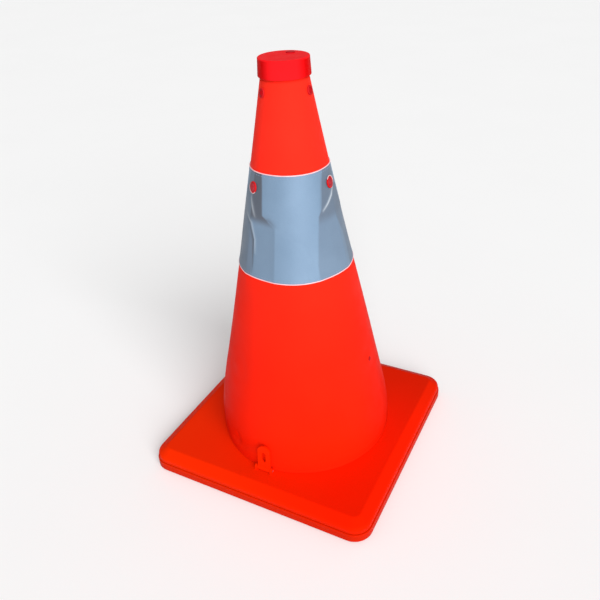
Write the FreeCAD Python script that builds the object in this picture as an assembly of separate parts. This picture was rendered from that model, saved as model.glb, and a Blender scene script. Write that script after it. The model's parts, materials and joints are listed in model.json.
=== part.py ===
"""Collapsible warning cone: a square two-shell base, a fabric sleeve held up by a conical wire spring,
a reflective band, eight small signal lamps and a cap with a push switch.

Frame: origin at the centre of the footprint on the ground, +Z up, -Y towards the side with the pull loop.
All lengths are millimetres.
"""

import FreeCAD, Part
import math
import os

Vector = FreeCAD.Vector
X_AXIS = Vector(1, 0, 0)
Y_AXIS = Vector(0, 1, 0)
Z_AXIS = Vector(0, 0, 1)

# ---------------------------------------------------------------- driving dimensions
BASE_SIDE = 280.0
TOTAL_HEIGHT = 459.5  # to the top of the cap, without the button
COVER_TOP = 25.0
SEAM_Z = 11.5  # where the cover meets the tray
WALL = 2.5
TRAVEL = 400.0  # of the cap, from standing to folded flat

# allowances
CUT = 1.0  # how far a cutting shape runs past the face that it opens
ROOT = 0.2  # how deep a rib, boss or lug is rooted in the wall that it grows from
FIT = 0.1  # air round a piece that drops into a recess
SLIDE_FIT = 0.05  # air round a shaft, a wire or a bead that may turn or slide
TIGHT_FIT = 0.02  # air round a screwed or pressed piece
SAME = 0.01  # places closer than this count as one

# base shells
TRAY_HALF = BASE_SIDE / 2
TRAY_CORNER = 21.0
TRAY_BOTTOM = 1.0
FLOOR = 2.5
TRAY_FLOOR_TOP = TRAY_BOTTOM + FLOOR
SEAM_GAP = 0.6
COVER_HALF = TRAY_HALF - 1.2  # the tray's lip stands proud of the cover
COVER_CORNER = TRAY_CORNER - 1.0
TRAY_EDGE_ROUND = 0.9
SHOULDER_RUN = 12.0
SHOULDER_DROP = 6.5
SHOULDER_ROUND = 5.0
LOCATING_LIP_T = 1.6
LOCATING_LIP_DROP = 3.5
LOCATING_LIP_RISE = 1.5  # above the cover's lower edge
LOCATING_LIP_AIR = 0.3
BOSS_R = 4.0
SMALL_BOSS_R = 3.4
PILOT_R = 1.52
PILOT_END = 0.5  # a pilot hole runs this far past the screw's tip
COVER_UNDERSIDE = COVER_TOP - WALL
RIB_LENGTH = 240.0
RIB_T = 1.6
RIB_TOP = 9.0
RIB_PLACE = 100.0

# rubber feet
FOOT_R = 13.0
FOOT_POCKET_DEPTH = 1.2
FOOT_PLACE = 108.0

# screws
SCREW_R = 1.5
SCREW_HEAD_R = 2.9
SCREW_HEAD_H = 1.8
SCREW_SLOT = 0.8  # width and depth
SCREW_SLOT_LENGTH = 3.8
FLUSH_HEAD_H = 0.8
COUNTERBORE = 0.9  # depth of a flush head's recess
SCREW_CLEARANCE = 0.2
BASE_SCREW_PLACES = [(s * 127.0, t * 60.0) for s in (-1, 1) for t in (-1, 1)]
BASE_SCREW_PLACES += [(s * 60.0, t * 127.0) for s in (-1, 1) for t in (-1, 1)]
BASE_SCREW_TIP = 17.0

# fabric sleeve
SLEEVE_T = 0.8
SLEEVE_FOOT_R = 111.4  # before the foot is tucked in
SLEEVE_NECK_R = 23.0
TUCK_DEPTH = 6.6  # the foot is drawn in, so that the cloth meets the cover upright
TUCK_HEIGHT = 50.0
TUCK_STEPS = 5
SLEEVE_SAG = 2.1  # how far the sides hollow inward at mid height
SLEEVE_NECK_Z = 443.0
SLEEVE_TOP_Z = 449.0
SIDE_STEPS = 10  # straight steps that make up the hollow of a side line
HEM_INNER_R = 71.0
BAND_T = 0.4
BAND_GAP = 0.08
BAND_Z = (250.6, 357.9)

# ring that clamps the hem
HEM_RING_R = (71.0, 82.0)  # inner, outer
HEM_RING_H = 4.0
HEM_SCREW_R = 76.5
HEM_SCREW_COUNT = 8
HEM_SCREW_START_DEG = 22.5
HEM_SCREW_TIP = 15.0
HEM_OVERLAP = 0.2

# conical wire spring
SPRING_WIRE_R = 1.2
SPRING_FOOT_R = 98.0
SPRING_HEAD_R = 18.3
SPRING_TURNS = 5
SPRING_HEAD_Z = 437.0
SPRING_END_GAP = 0.2
SPRING_FOOT_AIR = 0.1
LOOPS_PER_TURN = 3
LOOP_START_DEG = 60.0
LOOP_LAMP_DISTANCE = 12.0  # no webbing loop comes closer to a lamp's height than this
LOOP_BREADTH = 6.0
LOOP_AIR = 0.8
LOOP_WEB_T = 0.7

# lamps
LAMP_LEVELS = {"upper": 430.0, "middle": 342.0, "lower": 136.0}
COLUMN_ANGLES = (0.0, 120.0, 240.0)
LAMP_ANGLES = {"upper": COLUMN_ANGLES, "middle": COLUMN_ANGLES, "lower": COLUMN_ANGLES[:2]}
LENS_R = {"upper": 3.3, "middle": 4.5, "lower": 3.3}
BEZEL_R = {"upper": 4.6, "middle": 5.8, "lower": 4.6}
LENS_DOME = 0.5  # height over radius
LENS_STEM_R = 2.5
LENS_STEM_DEPTH = 3.4
LENS_FLANGE = 0.9
BEZEL_H = 1.2
BEZEL_ROUND = 0.7
BEZEL_AIR = 0.03
NUT_R = 4.6
NUT_T = 1.3
NUT_AIR = 0.15
LAMP_HOLE_R = LENS_STEM_R + 0.3
LAMP_HOLE_DEPTH = 12.0
LAMP_LIFT = 0.06  # air between bezel and fabric

# lamp leads
LEAD_R = 0.8
GROMMET_PLACE_R = 62.0
GROMMET_NECK_T = 1.5
GROMMET_BRIM_T = 2.95
GROMMET_BRIM_H = 1.5
LAMP_LEAD_START_DROP = 2.0
LAMP_LEAD_END_DROP = 7.0  # below the upper lamp
LAMP_LEAD_KNEES = [(0.0, 40.0), (10.0, 56.0), (18.0, 84.0)]  # (outward from the grommet, height)
LAMP_LEAD_PLUG_AIR = 2.1
LEAD_END_GAP = 0.8
LEAD_STEP_Z = 2.0  # height of one battery lead over the other
LEAD_ROUTES = ((8.0, 30.0), (13.0, 34.0))  # y at the ends, y where a battery lead passes the well
LEAD_BEND_INSET = 4.0

# cap
CAP_BOTTOM = 442.5
CAP_RIM_R = 25.4
CAP_TOP_R = 24.5
CAP_WALL = 2.2
CAP_EDGE_ROUND = 1.0
CAP_RIM_ROUND = 0.6
CAP_POCKET_R = 23.7
CAP_SHELF_Z = SLEEVE_TOP_Z + 0.6
CAP_BORE_R = 21.25
PLUG_RIM_R = 21.2
PLUG_FLANGE_R = 20.4
PLUG_SPIGOT_R = 15.5
PLUG_BOTTOM = 410.0
PLUG_FLANGE_Z = 438.6
PLUG_TOP = 452.0
PLUG_GROOVE_Z = (COVER_TOP + TRAVEL + 1.0, COVER_TOP + TRAVEL + 4.2)  # level with the catch when folded
PLUG_GROOVE_DEPTH = 1.0
PLUG_LEAD_IN = 1.5
PLUG_WALL = 3.5
PLUG_CORE_WALL = 2.5
PLUG_CORE_ROOF = 3.0
PLUG_POCKET_R = 19.6
PLUG_POCKET_FLOOR = 447.6
WIRE_WAY_R = 3.0

# push switch in the cap
BUTTON_Y = 14.0
BUTTON_R = 4.5
BUTTON_PROUD = 0.8
BUTTON_FLANGE_R = 5.4
BUTTON_FLANGE_T = 1.0
BUTTON_STEM_R = 1.8
BUTTON_ROUND = 0.6
BUTTON_TRAVEL = 1.0
SWITCH_BOARD_T = 1.2
SWITCH_BOARD_AIR = 0.3
SWITCH_Y = BUTTON_Y - 1.0
SWITCH_SIDE = 6.0
SWITCH_H = 2.6
PLUNGER_R = 1.7
PLUNGER_H = 0.6

# catch in the middle of the base
WELL_R = (21.5, 24.0)
WELL_FLOOR_Z = (5.5, 8.0)
COLLAR_R = 31.0
COLLAR_H = 4.0
COLLAR_FINGER_R = 15.65
COLLAR_SLOTS = 6
COLLAR_SLOT_WIDTH = 2.0
COLLAR_SLOT_OUTER_R = 21.0
COLLAR_SCREW_R = 27.5
COLLAR_SCREW_COUNT = 4
COLLAR_SCREW_START_DEG = 45.0
COLLAR_EDGE_ROUND = 0.8
COLLAR_SCREW_TIP = 15.0

# battery compartment and flasher board, inside the base
CELL_R = 7.1
CELL_LENGTH = 50.0
CELL_PITCH = 15.2
CELL_Z = 12.2
CELL_TIP_R = 2.6
CELL_TIP_H = 1.4
CELL_WINDOW_AIR = (4.0, 1.0)
CONTACT_PLATE = (0.5, 10.0, 12.0)
CONTACT_PLATE_Z = 6.2
CONTACT_PLATE_INSET = 0.6
CONTACT_SPRING_R = (4.0, 2.4)
BOX_CENTRE = (-62.0, 0.0)
BOX_SIZE = (61.0, 35.0)
BOX_TOP = 21.5
BOX_WALL = 1.5
DOOR_SIZE = (58.0, 46.0)
DOOR_CLEARANCE = 0.3
DOOR_T = 1.6
DOOR_SCREW_INSET = 3.6
BOARD_CENTRE = (62.0, 0.0)
BOARD_SIZE = (50.0, 32.0)
BOARD_Z = 9.0
BOARD_T = 1.6
BOARD_TOP = BOARD_Z + BOARD_T
BOARD_HOLE_INSET = 4.0
BOARD_PILOT_Z = 5.0
BOARD_SCREW_TIP = 5.6
STANDOFF_R = 3.0
TIMER_CHIP = (9.0, 6.0, 2.2, -3.0, 2.0)  # size along x, y and z, then place on the board
DRIVER_CHIP = (6.0, 5.0, 1.6, 10.0, -4.0)
PLUG_SOCKET = (12.0, 5.0, 6.0, 0.0, -11.5)
CAPACITOR = (3.2, 8.0, -14.0, 6.0)  # radius, height, then place on the board

# pull loop at the foot of the cone
LOOP_X = 3.0
LOOP_Y = -109.0
LOOP_Z = 28.6
LOOP_WIDTH = 16.0
LOOP_REACH = 32.0
LOOP_T = 3.2
LOOP_SLOT_WIDTH = 5.0
LOOP_SLOT_SPAN = (10.0, 23.0)
LOOP_LEAN_DEG = 6.0
LUG_T = 2.8
LUG_GAP = 0.4
LUG_R = 3.1
LUG_ROOT = 0.5
LOOP_BARREL_R = LUG_R - 0.2
LOOP_EDGE_ROUND = 0.7
PIN_R = 1.5


# ---------------------------------------------------------------- basic shapes
def cylinder(radius, z0, z1, x=0.0, y=0.0):
    return Part.makeCylinder(radius, z1 - z0, Vector(x, y, z0))


def tube(outer, inner, z0, z1, x=0.0, y=0.0):
    return cylinder(outer, z0, z1, x, y).cut(cylinder(inner, z0, z1, x, y))


def centred_box(size_x, size_y, z0, z1, x=0.0, y=0.0):
    return Part.makeBox(size_x, size_y, z1 - z0, Vector(x - size_x / 2, y - size_y / 2, z0))


def fused(shapes):
    first, *rest = shapes
    return first.multiFuse(rest).removeSplitter() if rest else first


def on_circle(radius, count, start_deg=0.0):
    """Points (x, y) evenly spaced on a circle about the axis."""
    angles = [math.radians(start_deg + 360.0 * i / count) for i in range(count)]
    return [(radius * math.cos(a), radius * math.sin(a)) for a in angles]


def rounded_square(half, corner, z):
    """A closed wire: a square with rounded corners, at height z."""
    inner = half - corner
    edges = []
    for quarter in range(4):
        turn = math.radians(90 * quarter)
        middle_turn = turn + math.radians(45)
        centre = Vector(inner, inner, 0)
        centre = FreeCAD.Rotation(Z_AXIS, 90 * quarter).multVec(centre)
        start = centre + Vector(corner * math.cos(turn), corner * math.sin(turn), 0)
        middle = centre + Vector(corner * math.cos(middle_turn), corner * math.sin(middle_turn), 0)
        end = centre + Vector(-corner * math.sin(turn), corner * math.cos(turn), 0)
        edges.append(Part.Arc(start, middle, end).toShape())
        next_start = FreeCAD.Rotation(Z_AXIS, 90).multVec(start)
        edges.append(Part.makeLine(end, next_start))
    wire = Part.Wire(edges)
    wire.translate(Vector(0, 0, z))
    return wire


def rounded_block(half, corner, z0, z1):
    return Part.Face(rounded_square(half, corner, z0)).extrude(Vector(0, 0, z1 - z0))


def shouldered_block(half, corner, z0, z1, rounding):
    """A rounded square block whose top edge slopes away in a wide, softened shoulder."""
    shoulder_z = z1 - SHOULDER_DROP
    body = rounded_block(half, corner, z0, shoulder_z)
    wires = [
        rounded_square(half, corner, shoulder_z),
        rounded_square(half - SHOULDER_RUN, corner - SHOULDER_RUN, z1),
    ]
    block = body.fuse(Part.makeLoft(wires, True, True)).removeSplitter()
    if rounding:
        at_levels = [e for e in block.Edges if level_edge(e, shoulder_z) or level_edge(e, z1)]
        block = block.makeFillet(rounding, at_levels)
    return block


def level_edge(edge, z):
    box = edge.BoundBox
    return abs(box.ZMin - z) < SAME and abs(box.ZMax - z) < SAME


def screw(x, y, seat_z, tip_z):
    """A slotted pan-head screw driven downward, its head resting at seat_z."""
    head_top = seat_z + SCREW_HEAD_H
    shank = cylinder(SCREW_R, tip_z, seat_z, x, y)
    head = cylinder(SCREW_HEAD_R, seat_z, head_top, x, y)
    slot = centred_box(SCREW_SLOT_LENGTH, SCREW_SLOT, head_top - SCREW_SLOT, head_top, x, y)
    return shank.fuse(head).cut(slot)


def flush_screw(x, y, head_top, tip_z):
    """A thin-headed screw driven upward, its head flush inside a shallow counterbore."""
    head = cylinder(SCREW_HEAD_R, head_top - FLUSH_HEAD_H, head_top, x, y)
    return head.fuse(cylinder(SCREW_R, head_top - FLUSH_HEAD_H / 2, tip_z, x, y))


# ---------------------------------------------------------------- base
def foot_places():
    return [(s * FOOT_PLACE, t * FOOT_PLACE) for s in (-1, 1) for t in (-1, 1)]


def base_tray():
    shell = rounded_block(TRAY_HALF, TRAY_CORNER, TRAY_BOTTOM, SEAM_Z)
    shell = shell.cut(rounded_block(TRAY_HALF - WALL, TRAY_CORNER - WALL, TRAY_FLOOR_TOP, SEAM_Z))
    rim = [e for e in shell.Edges if level_edge(e, SEAM_Z) or level_edge(e, TRAY_BOTTOM)]
    outer_rim = [e for e in rim if max(abs(e.BoundBox.XMax), abs(e.BoundBox.YMax),
                                       abs(e.BoundBox.XMin), abs(e.BoundBox.YMin)) > TRAY_HALF - SAME]
    shell = shell.makeFillet(TRAY_EDGE_ROUND, outer_rim)
    standoffs = [cylinder(STANDOFF_R, TRAY_FLOOR_TOP - ROOT, BOARD_Z, x, y) for x, y in board_holes()]
    shell = fused([shell] + tray_ribs() + standoffs)
    pockets = [cylinder(FOOT_R + FIT, TRAY_BOTTOM, TRAY_BOTTOM + FOOT_POCKET_DEPTH, x, y)
               for x, y in foot_places()]
    pilots = [cylinder(PILOT_R, BOARD_PILOT_Z, BOARD_Z, x, y) for x, y in board_holes()]
    return shell.cut(Part.makeCompound(pockets + pilots + tray_screw_holes() + battery_opening()))


def tray_ribs():
    """Two pairs of stiffening ribs on the tray's floor."""
    z0 = TRAY_FLOOR_TOP - ROOT
    ribs = []
    for offset in (-RIB_PLACE, RIB_PLACE):
        ribs.append(centred_box(RIB_LENGTH, RIB_T, z0, RIB_TOP, 0, offset))
        ribs.append(centred_box(RIB_T, RIB_LENGTH, z0, RIB_TOP, offset, 0))
    return ribs


def tray_screw_holes():
    holes = []
    for x, y in BASE_SCREW_PLACES:
        holes.append(cylinder(SCREW_R + SCREW_CLEARANCE, TRAY_BOTTOM, TRAY_FLOOR_TOP + CUT, x, y))
        holes.append(cylinder(SCREW_HEAD_R + SCREW_CLEARANCE, TRAY_BOTTOM, TRAY_BOTTOM + COUNTERBORE, x, y))
    return holes


def battery_opening():
    """The door's recess, the window over the cells and the pilot for the door's screw."""
    x, y = BOX_CENTRE
    along, across = CELL_WINDOW_AIR
    return [
        centred_box(DOOR_SIZE[0], DOOR_SIZE[1], TRAY_BOTTOM, TRAY_BOTTOM + DOOR_T, x, y),
        centred_box(CELL_LENGTH + along, CELL_PITCH * 2 + across, TRAY_BOTTOM, TRAY_FLOOR_TOP + CUT, x, y),
        cylinder(PILOT_R, TRAY_BOTTOM, TRAY_FLOOR_TOP, x, y + door_screw_offset()),
    ]


def base_cover():
    outer = shouldered_block(COVER_HALF, COVER_CORNER, SEAM_Z + SEAM_GAP, COVER_TOP, SHOULDER_ROUND)
    inner = shouldered_block(COVER_HALF - WALL, COVER_CORNER - WALL, SEAM_Z, COVER_UNDERSIDE, 0)
    well = cylinder(WELL_R[1], WELL_FLOOR_Z[0], COVER_UNDERSIDE + CUT)
    shell = fused([outer.cut(inner), locating_lip(), well] + cover_bosses() + loop_lugs())
    cuts = [cylinder(WELL_R[0], WELL_FLOOR_Z[1], COVER_TOP + CUT)] + cover_pilots()
    cuts += [cylinder(LEAD_R + GROMMET_NECK_T + 2 * SLIDE_FIT, COVER_UNDERSIDE - CUT, COVER_TOP + CUT, x, y)
             for x, y in grommet_places()]
    return shell.cut(Part.makeCompound(cuts))


def locating_lip():
    """The lip inside the cover's lower edge, which centres it in the tray."""
    half = TRAY_HALF - WALL - LOCATING_LIP_AIR
    corner = TRAY_CORNER - WALL - LOCATING_LIP_AIR
    z0 = SEAM_Z - LOCATING_LIP_DROP
    z1 = SEAM_Z + SEAM_GAP + LOCATING_LIP_RISE
    hollow = rounded_block(half - LOCATING_LIP_T, corner - LOCATING_LIP_T, z0, z1)
    return rounded_block(half, corner, z0, z1).cut(hollow)


def cover_bosses():
    bosses = [cylinder(BOSS_R, TRAY_FLOOR_TOP, COVER_UNDERSIDE, x, y) for x, y in BASE_SCREW_PLACES]
    for tip_z, places in top_screws():
        bottom = tip_z - 2 * PILOT_END
        bosses += [cylinder(SMALL_BOSS_R, bottom, COVER_UNDERSIDE + CUT, x, y) for x, y in places]
    return bosses


def cover_pilots():
    pilot_top = BASE_SCREW_TIP + PILOT_END
    pilots = [cylinder(PILOT_R, TRAY_FLOOR_TOP, pilot_top, x, y) for x, y in BASE_SCREW_PLACES]
    for tip_z, places in top_screws():
        pilots += [cylinder(PILOT_R, tip_z - PILOT_END, COVER_TOP + CUT, x, y) for x, y in places]
    return pilots


def top_screws():
    """The screws that go down into the cover: tip height and places of each set."""
    return [(HEM_SCREW_TIP, hem_screw_places()), (COLLAR_SCREW_TIP, collar_screw_places())]


def rubber_feet():
    return [cylinder(FOOT_R, 0, TRAY_BOTTOM + FOOT_POCKET_DEPTH, x, y) for x, y in foot_places()]


def base_screws():
    return [flush_screw(x, y, TRAY_BOTTOM + COUNTERBORE, BASE_SCREW_TIP) for x, y in BASE_SCREW_PLACES]


# ---------------------------------------------------------------- battery compartment and board
def door_screw_offset():
    return DOOR_SIZE[1] / 2 - DOOR_SCREW_INSET


def battery_box():
    x, y = BOX_CENTRE
    outer = centred_box(BOX_SIZE[0], BOX_SIZE[1], TRAY_FLOOR_TOP, BOX_TOP, x, y)
    inner = centred_box(BOX_SIZE[0] - 2 * BOX_WALL, BOX_SIZE[1] - 2 * BOX_WALL,
                        TRAY_FLOOR_TOP, BOX_TOP - BOX_WALL, x, y)
    return outer.cut(inner)


def battery_door():
    x, y = BOX_CENTRE
    plate = centred_box(DOOR_SIZE[0] - 2 * DOOR_CLEARANCE, DOOR_SIZE[1] - 2 * DOOR_CLEARANCE,
                        TRAY_BOTTOM, TRAY_BOTTOM + DOOR_T - FIT, x, y)
    screw_y = y + door_screw_offset()
    shank_hole = cylinder(SCREW_R + SCREW_CLEARANCE, TRAY_BOTTOM, TRAY_BOTTOM + DOOR_T, x, screw_y)
    recess = cylinder(SCREW_HEAD_R + SCREW_CLEARANCE, TRAY_BOTTOM, TRAY_BOTTOM + COUNTERBORE, x, screw_y)
    return plate.cut(Part.makeCompound([shank_hole, recess]))


def battery_door_screw():
    x, y = BOX_CENTRE
    tip_z = TRAY_FLOOR_TOP - SCREW_CLEARANCE
    return flush_screw(x, y + door_screw_offset(), TRAY_BOTTOM + COUNTERBORE, tip_z)


def cell_rows():
    x, y = BOX_CENTRE
    return [(x, y - CELL_PITCH / 2, 1), (x, y + CELL_PITCH / 2, -1)]


def battery_cells():
    cells = []
    for x, y, sense in cell_rows():
        start = Vector(x - sense * CELL_LENGTH / 2, y, CELL_Z)
        along = X_AXIS * sense
        body_length = CELL_LENGTH - CELL_TIP_H
        body = Part.makeCylinder(CELL_R, body_length, start, along)
        tip = Part.makeCylinder(CELL_TIP_R, CELL_TIP_H, start + along * body_length, along)
        cells.append(body.fuse(tip))
    return cells


def battery_contacts():
    """A plate at each end of each cell, and a conical spring stack at its flat end."""
    thick, wide, high = CONTACT_PLATE
    contacts = []
    plate_x = BOX_SIZE[0] / 2 - BOX_WALL - CONTACT_PLATE_INSET
    face_x = plate_x - thick / 2 - SLIDE_FIT
    for x, y, sense in cell_rows():
        for side in (-1, 1):
            corner = Vector(x + side * plate_x - thick / 2, y - wide / 2, CONTACT_PLATE_Z)
            contacts.append(Part.makeBox(thick, wide, high, corner))
        depth = face_x - CELL_LENGTH / 2 - SLIDE_FIT
        contacts.append(Part.makeCone(*CONTACT_SPRING_R, depth, Vector(x - sense * face_x, y, CELL_Z),
                                      X_AXIS * sense))
    return contacts


def board_holes():
    x, y = BOARD_CENTRE
    dx = BOARD_SIZE[0] / 2 - BOARD_HOLE_INSET
    dy = BOARD_SIZE[1] / 2 - BOARD_HOLE_INSET
    return [(x + s * dx, y + t * dy) for s, t in ((-1, -1), (1, 1))]


def flasher_board():
    x, y = BOARD_CENTRE
    board = centred_box(BOARD_SIZE[0], BOARD_SIZE[1], BOARD_Z, BOARD_TOP, x, y)
    holes = [cylinder(SCREW_R + SCREW_CLEARANCE, BOARD_Z, BOARD_TOP, hx, hy) for hx, hy in board_holes()]
    return board.cut(Part.makeCompound(holes))


def board_screws():
    return [screw(x, y, BOARD_TOP, BOARD_SCREW_TIP) for x, y in board_holes()]


def board_components():
    """Two chips and the lead socket, and a standing capacitor."""
    x, y = BOARD_CENTRE
    parts = [centred_box(sx, sy, BOARD_TOP, BOARD_TOP + sz, x + dx, y + dy)
             for sx, sy, sz, dx, dy in (TIMER_CHIP, DRIVER_CHIP, PLUG_SOCKET)]
    radius, high, dx, dy = CAPACITOR
    parts.append(cylinder(radius, BOARD_TOP, BOARD_TOP + high, x + dx, y + dy))
    return parts


def battery_leads():
    """Two leads from the battery box to the board, led round the well."""
    box_side = BOX_CENTRE[0] + BOX_SIZE[0] / 2 + LEAD_END_GAP
    board_side = BOARD_CENTRE[0] - BOARD_SIZE[0] / 2 - LEAD_END_GAP
    leads = []
    for i, (end_y, bypass_y) in enumerate(LEAD_ROUTES):
        lead_z = BOARD_Z + LEAD_R + i * LEAD_STEP_Z
        bend_x = bypass_y - LEAD_BEND_INSET
        points = [(box_side, end_y), (-bend_x, bypass_y), (bend_x, bypass_y), (board_side, end_y)]
        leads.append(rod_through([Vector(x, y, lead_z) for x, y in points], LEAD_R))
    return leads


# ---------------------------------------------------------------- fabric sleeve, band and hem ring
def sleeve_radius(z):
    """Outer radius of the fabric at height z."""
    t = (z - COVER_TOP) / (SLEEVE_NECK_Z - COVER_TOP)
    straight = SLEEVE_FOOT_R + (SLEEVE_NECK_R - SLEEVE_FOOT_R) * t
    below_tuck_top = max(0.0, 1.0 - (z - COVER_TOP) / TUCK_HEIGHT)
    return straight - 4 * SLEEVE_SAG * t * (1 - t) - TUCK_DEPTH * below_tuck_top ** 2


def sleeve_slope(z):
    """Inward lean of the fabric at height z, in radians."""
    return math.atan((sleeve_radius(z - 1) - sleeve_radius(z + 1)) / 2)


def side_line(z0, z1, offset):
    """Points up the sleeve's side between two heights, moved outward by offset."""
    even = [z0 + (z1 - z0) * i / SIDE_STEPS for i in range(SIDE_STEPS + 1)]
    in_tuck = [COVER_TOP + TUCK_HEIGHT * i / TUCK_STEPS for i in range(TUCK_STEPS + 1)]
    heights = sorted(set(even + [z for z in in_tuck if z0 < z < z1]))
    return [Vector(sleeve_radius(z) + offset, 0, z) for z in heights]


def skin(z0, z1, inner_offset, outer_offset):
    """A thin shell of revolution that follows the sleeve's side line."""
    outline = side_line(z0, z1, outer_offset) + side_line(z0, z1, inner_offset)[::-1]
    return Part.Face(Part.makePolygon(outline + outline[:1])).revolve(Vector(), Z_AXIS, 360)


def fabric_sleeve():
    wall = skin(COVER_TOP, SLEEVE_TOP_Z, -SLEEVE_T, 0)
    hem_r = sleeve_radius(COVER_TOP) - SLEEVE_T / 2 - HEM_OVERLAP
    hem = tube(hem_r, HEM_INNER_R, COVER_TOP, COVER_TOP + SLEEVE_T)
    holes = [cylinder(SCREW_R + SCREW_CLEARANCE, COVER_TOP, COVER_TOP + SLEEVE_T, x, y)
             for x, y in hem_screw_places()]
    holes += [placed_on_sleeve(lamp_hole(), LAMP_LEVELS[level], angle)
              for level, angles in LAMP_ANGLES.items() for angle in angles]
    return wall.fuse(hem).cut(Part.makeCompound(holes))


def reflective_band():
    band = skin(BAND_Z[0], BAND_Z[1], BAND_GAP, BAND_GAP + BAND_T)
    holes = [placed_on_sleeve(lamp_hole(), LAMP_LEVELS["middle"], angle) for angle in LAMP_ANGLES["middle"]]
    return band.cut(Part.makeCompound(holes))


def hem_screw_places():
    return on_circle(HEM_SCREW_R, HEM_SCREW_COUNT, HEM_SCREW_START_DEG)


def hem_ring():
    z0 = COVER_TOP + SLEEVE_T
    inner, outer = HEM_RING_R
    holes = [cylinder(SCREW_R + SCREW_CLEARANCE, z0, z0 + HEM_RING_H, x, y) for x, y in hem_screw_places()]
    return tube(outer, inner, z0, z0 + HEM_RING_H).cut(Part.makeCompound(holes))


def hem_ring_screws():
    head_z = COVER_TOP + SLEEVE_T + HEM_RING_H
    return [screw(x, y, head_z, HEM_SCREW_TIP) for x, y in hem_screw_places()]


# ---------------------------------------------------------------- spring
def spring_foot_z():
    return COVER_TOP + SLEEVE_T + SPRING_WIRE_R + SPRING_FOOT_AIR


def helix_start_z():
    return spring_foot_z() + 2 * SPRING_WIRE_R + SPRING_END_GAP


def helix_end_z():
    return SPRING_HEAD_Z - 2 * SPRING_WIRE_R - SPRING_END_GAP


def spring_radius(z):
    share = (z - helix_start_z()) / (helix_end_z() - helix_start_z())
    return SPRING_FOOT_R + (SPRING_HEAD_R - SPRING_FOOT_R) * share


def cone_spring():
    """A closed ring at each end and the open conical turns between them."""
    height = helix_end_z() - helix_start_z()
    lean = math.atan((SPRING_FOOT_R - SPRING_HEAD_R) / height)
    slant = height / math.cos(lean)  # a conical helix is laid out along the cone's side
    helix = Part.makeHelix(slant / SPRING_TURNS, slant, SPRING_HEAD_R, math.degrees(lean))
    section = Part.Wire(Part.makeCircle(SPRING_WIRE_R, Vector(SPRING_HEAD_R, 0, 0), Y_AXIS))
    turns = Part.Wire(helix.Edges).makePipeShell([section], True, True)
    turns.rotate(Vector(), X_AXIS, 180)
    turns.translate(Vector(0, 0, helix_end_z()))
    foot_ring = Part.makeTorus(SPRING_FOOT_R, SPRING_WIRE_R, Vector(0, 0, spring_foot_z()))
    head_ring = Part.makeTorus(SPRING_HEAD_R, SPRING_WIRE_R, Vector(0, 0, SPRING_HEAD_Z))
    return [foot_ring, turns, head_ring]


def spring_loops():
    """Small webbing loops, sewn inside the sleeve, through which the spring wire runs."""
    pitch = (helix_end_z() - helix_start_z()) / SPRING_TURNS
    loops = []
    for i in range(LOOPS_PER_TURN * (SPRING_TURNS - 1)):
        angle = LOOP_START_DEG + 360.0 * i / LOOPS_PER_TURN
        z = helix_start_z() + pitch * angle / 360.0
        if min(abs(z - level) for level in LAMP_LEVELS.values()) > LOOP_LAMP_DISTANCE:
            loops.append(spring_loop(z, angle, pitch))
    return loops


def spring_loop(z, angle, pitch):
    """An eye round the wire and a short tab out to the fabric."""
    wire_r = spring_radius(z)
    start = Vector(wire_r, -LOOP_BREADTH / 2, z)
    eye = Part.makeCylinder(SPRING_WIRE_R + LOOP_AIR + LOOP_WEB_T, LOOP_BREADTH, start, Y_AXIS)
    hole = Part.makeCylinder(SPRING_WIRE_R + LOOP_AIR, LOOP_BREADTH, start, Y_AXIS)
    tab_start = wire_r + SPRING_WIRE_R + LOOP_AIR + LOOP_WEB_T / 2
    tab_end = sleeve_radius(z) - SLEEVE_T - LOOP_BREADTH ** 2 / (8 * wire_r) - LOOP_WEB_T / 2
    tab = Part.makeBox(tab_end - tab_start, LOOP_BREADTH, LOOP_WEB_T,
                       Vector(tab_start, -LOOP_BREADTH / 2, z - LOOP_WEB_T / 2))
    loop = eye.fuse(tab).cut(hole)
    rise = math.degrees(math.atan(pitch / (2 * math.pi * wire_r)))
    loop.rotate(Vector(wire_r, 0, z), X_AXIS, rise)
    loop.rotate(Vector(), Z_AXIS, angle)
    return loop


# ---------------------------------------------------------------- lamps and their leads
def placed_on_sleeve(shape, z, angle_deg, lift=0.0):
    """Moves a shape built about +X, with the fabric's face at x = 0, to its place on the sleeve."""
    placed = shape.copy()
    placed.translate(Vector(lift, 0, 0))
    placed.rotate(Vector(), Y_AXIS, -math.degrees(sleeve_slope(z)))
    placed.translate(Vector(sleeve_radius(z), 0, z))
    placed.rotate(Vector(), Z_AXIS, angle_deg)
    return placed


def lamp_hole():
    return along_x(LAMP_HOLE_R, -LAMP_HOLE_DEPTH / 2, LAMP_HOLE_DEPTH / 2)


def along_x(radius, x0, x1):
    return Part.makeCylinder(radius, x1 - x0, Vector(x0, 0, 0), X_AXIS)


def lamp_lens(radius):
    """A stem that passes through the fabric, a flange and a shallow dome."""
    dome = LENS_DOME * radius
    dome_r = (radius ** 2 + dome ** 2) / (2 * dome)
    ball = Part.makeSphere(dome_r, Vector(LENS_FLANGE + dome - dome_r, 0, 0))
    crown = ball.common(along_x(radius, LENS_FLANGE - TIGHT_FIT, LENS_FLANGE + 2 * dome))
    stem = along_x(LENS_STEM_R, -LENS_STEM_DEPTH, LENS_FLANGE / 2)
    return stem.fuse(along_x(radius, 0, LENS_FLANGE)).fuse(crown)


def lamp_bezel(radius, lens_radius):
    ring = along_x(radius, 0, BEZEL_H).cut(along_x(lens_radius + BEZEL_AIR, 0, BEZEL_H))
    outer_edge = [e for e in ring.Edges if abs(e.BoundBox.XMax - BEZEL_H) < SAME
                  and abs(e.BoundBox.XMin - BEZEL_H) < SAME and e.BoundBox.YMax > radius - SAME]
    return ring.makeFillet(BEZEL_ROUND, outer_edge)


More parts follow.
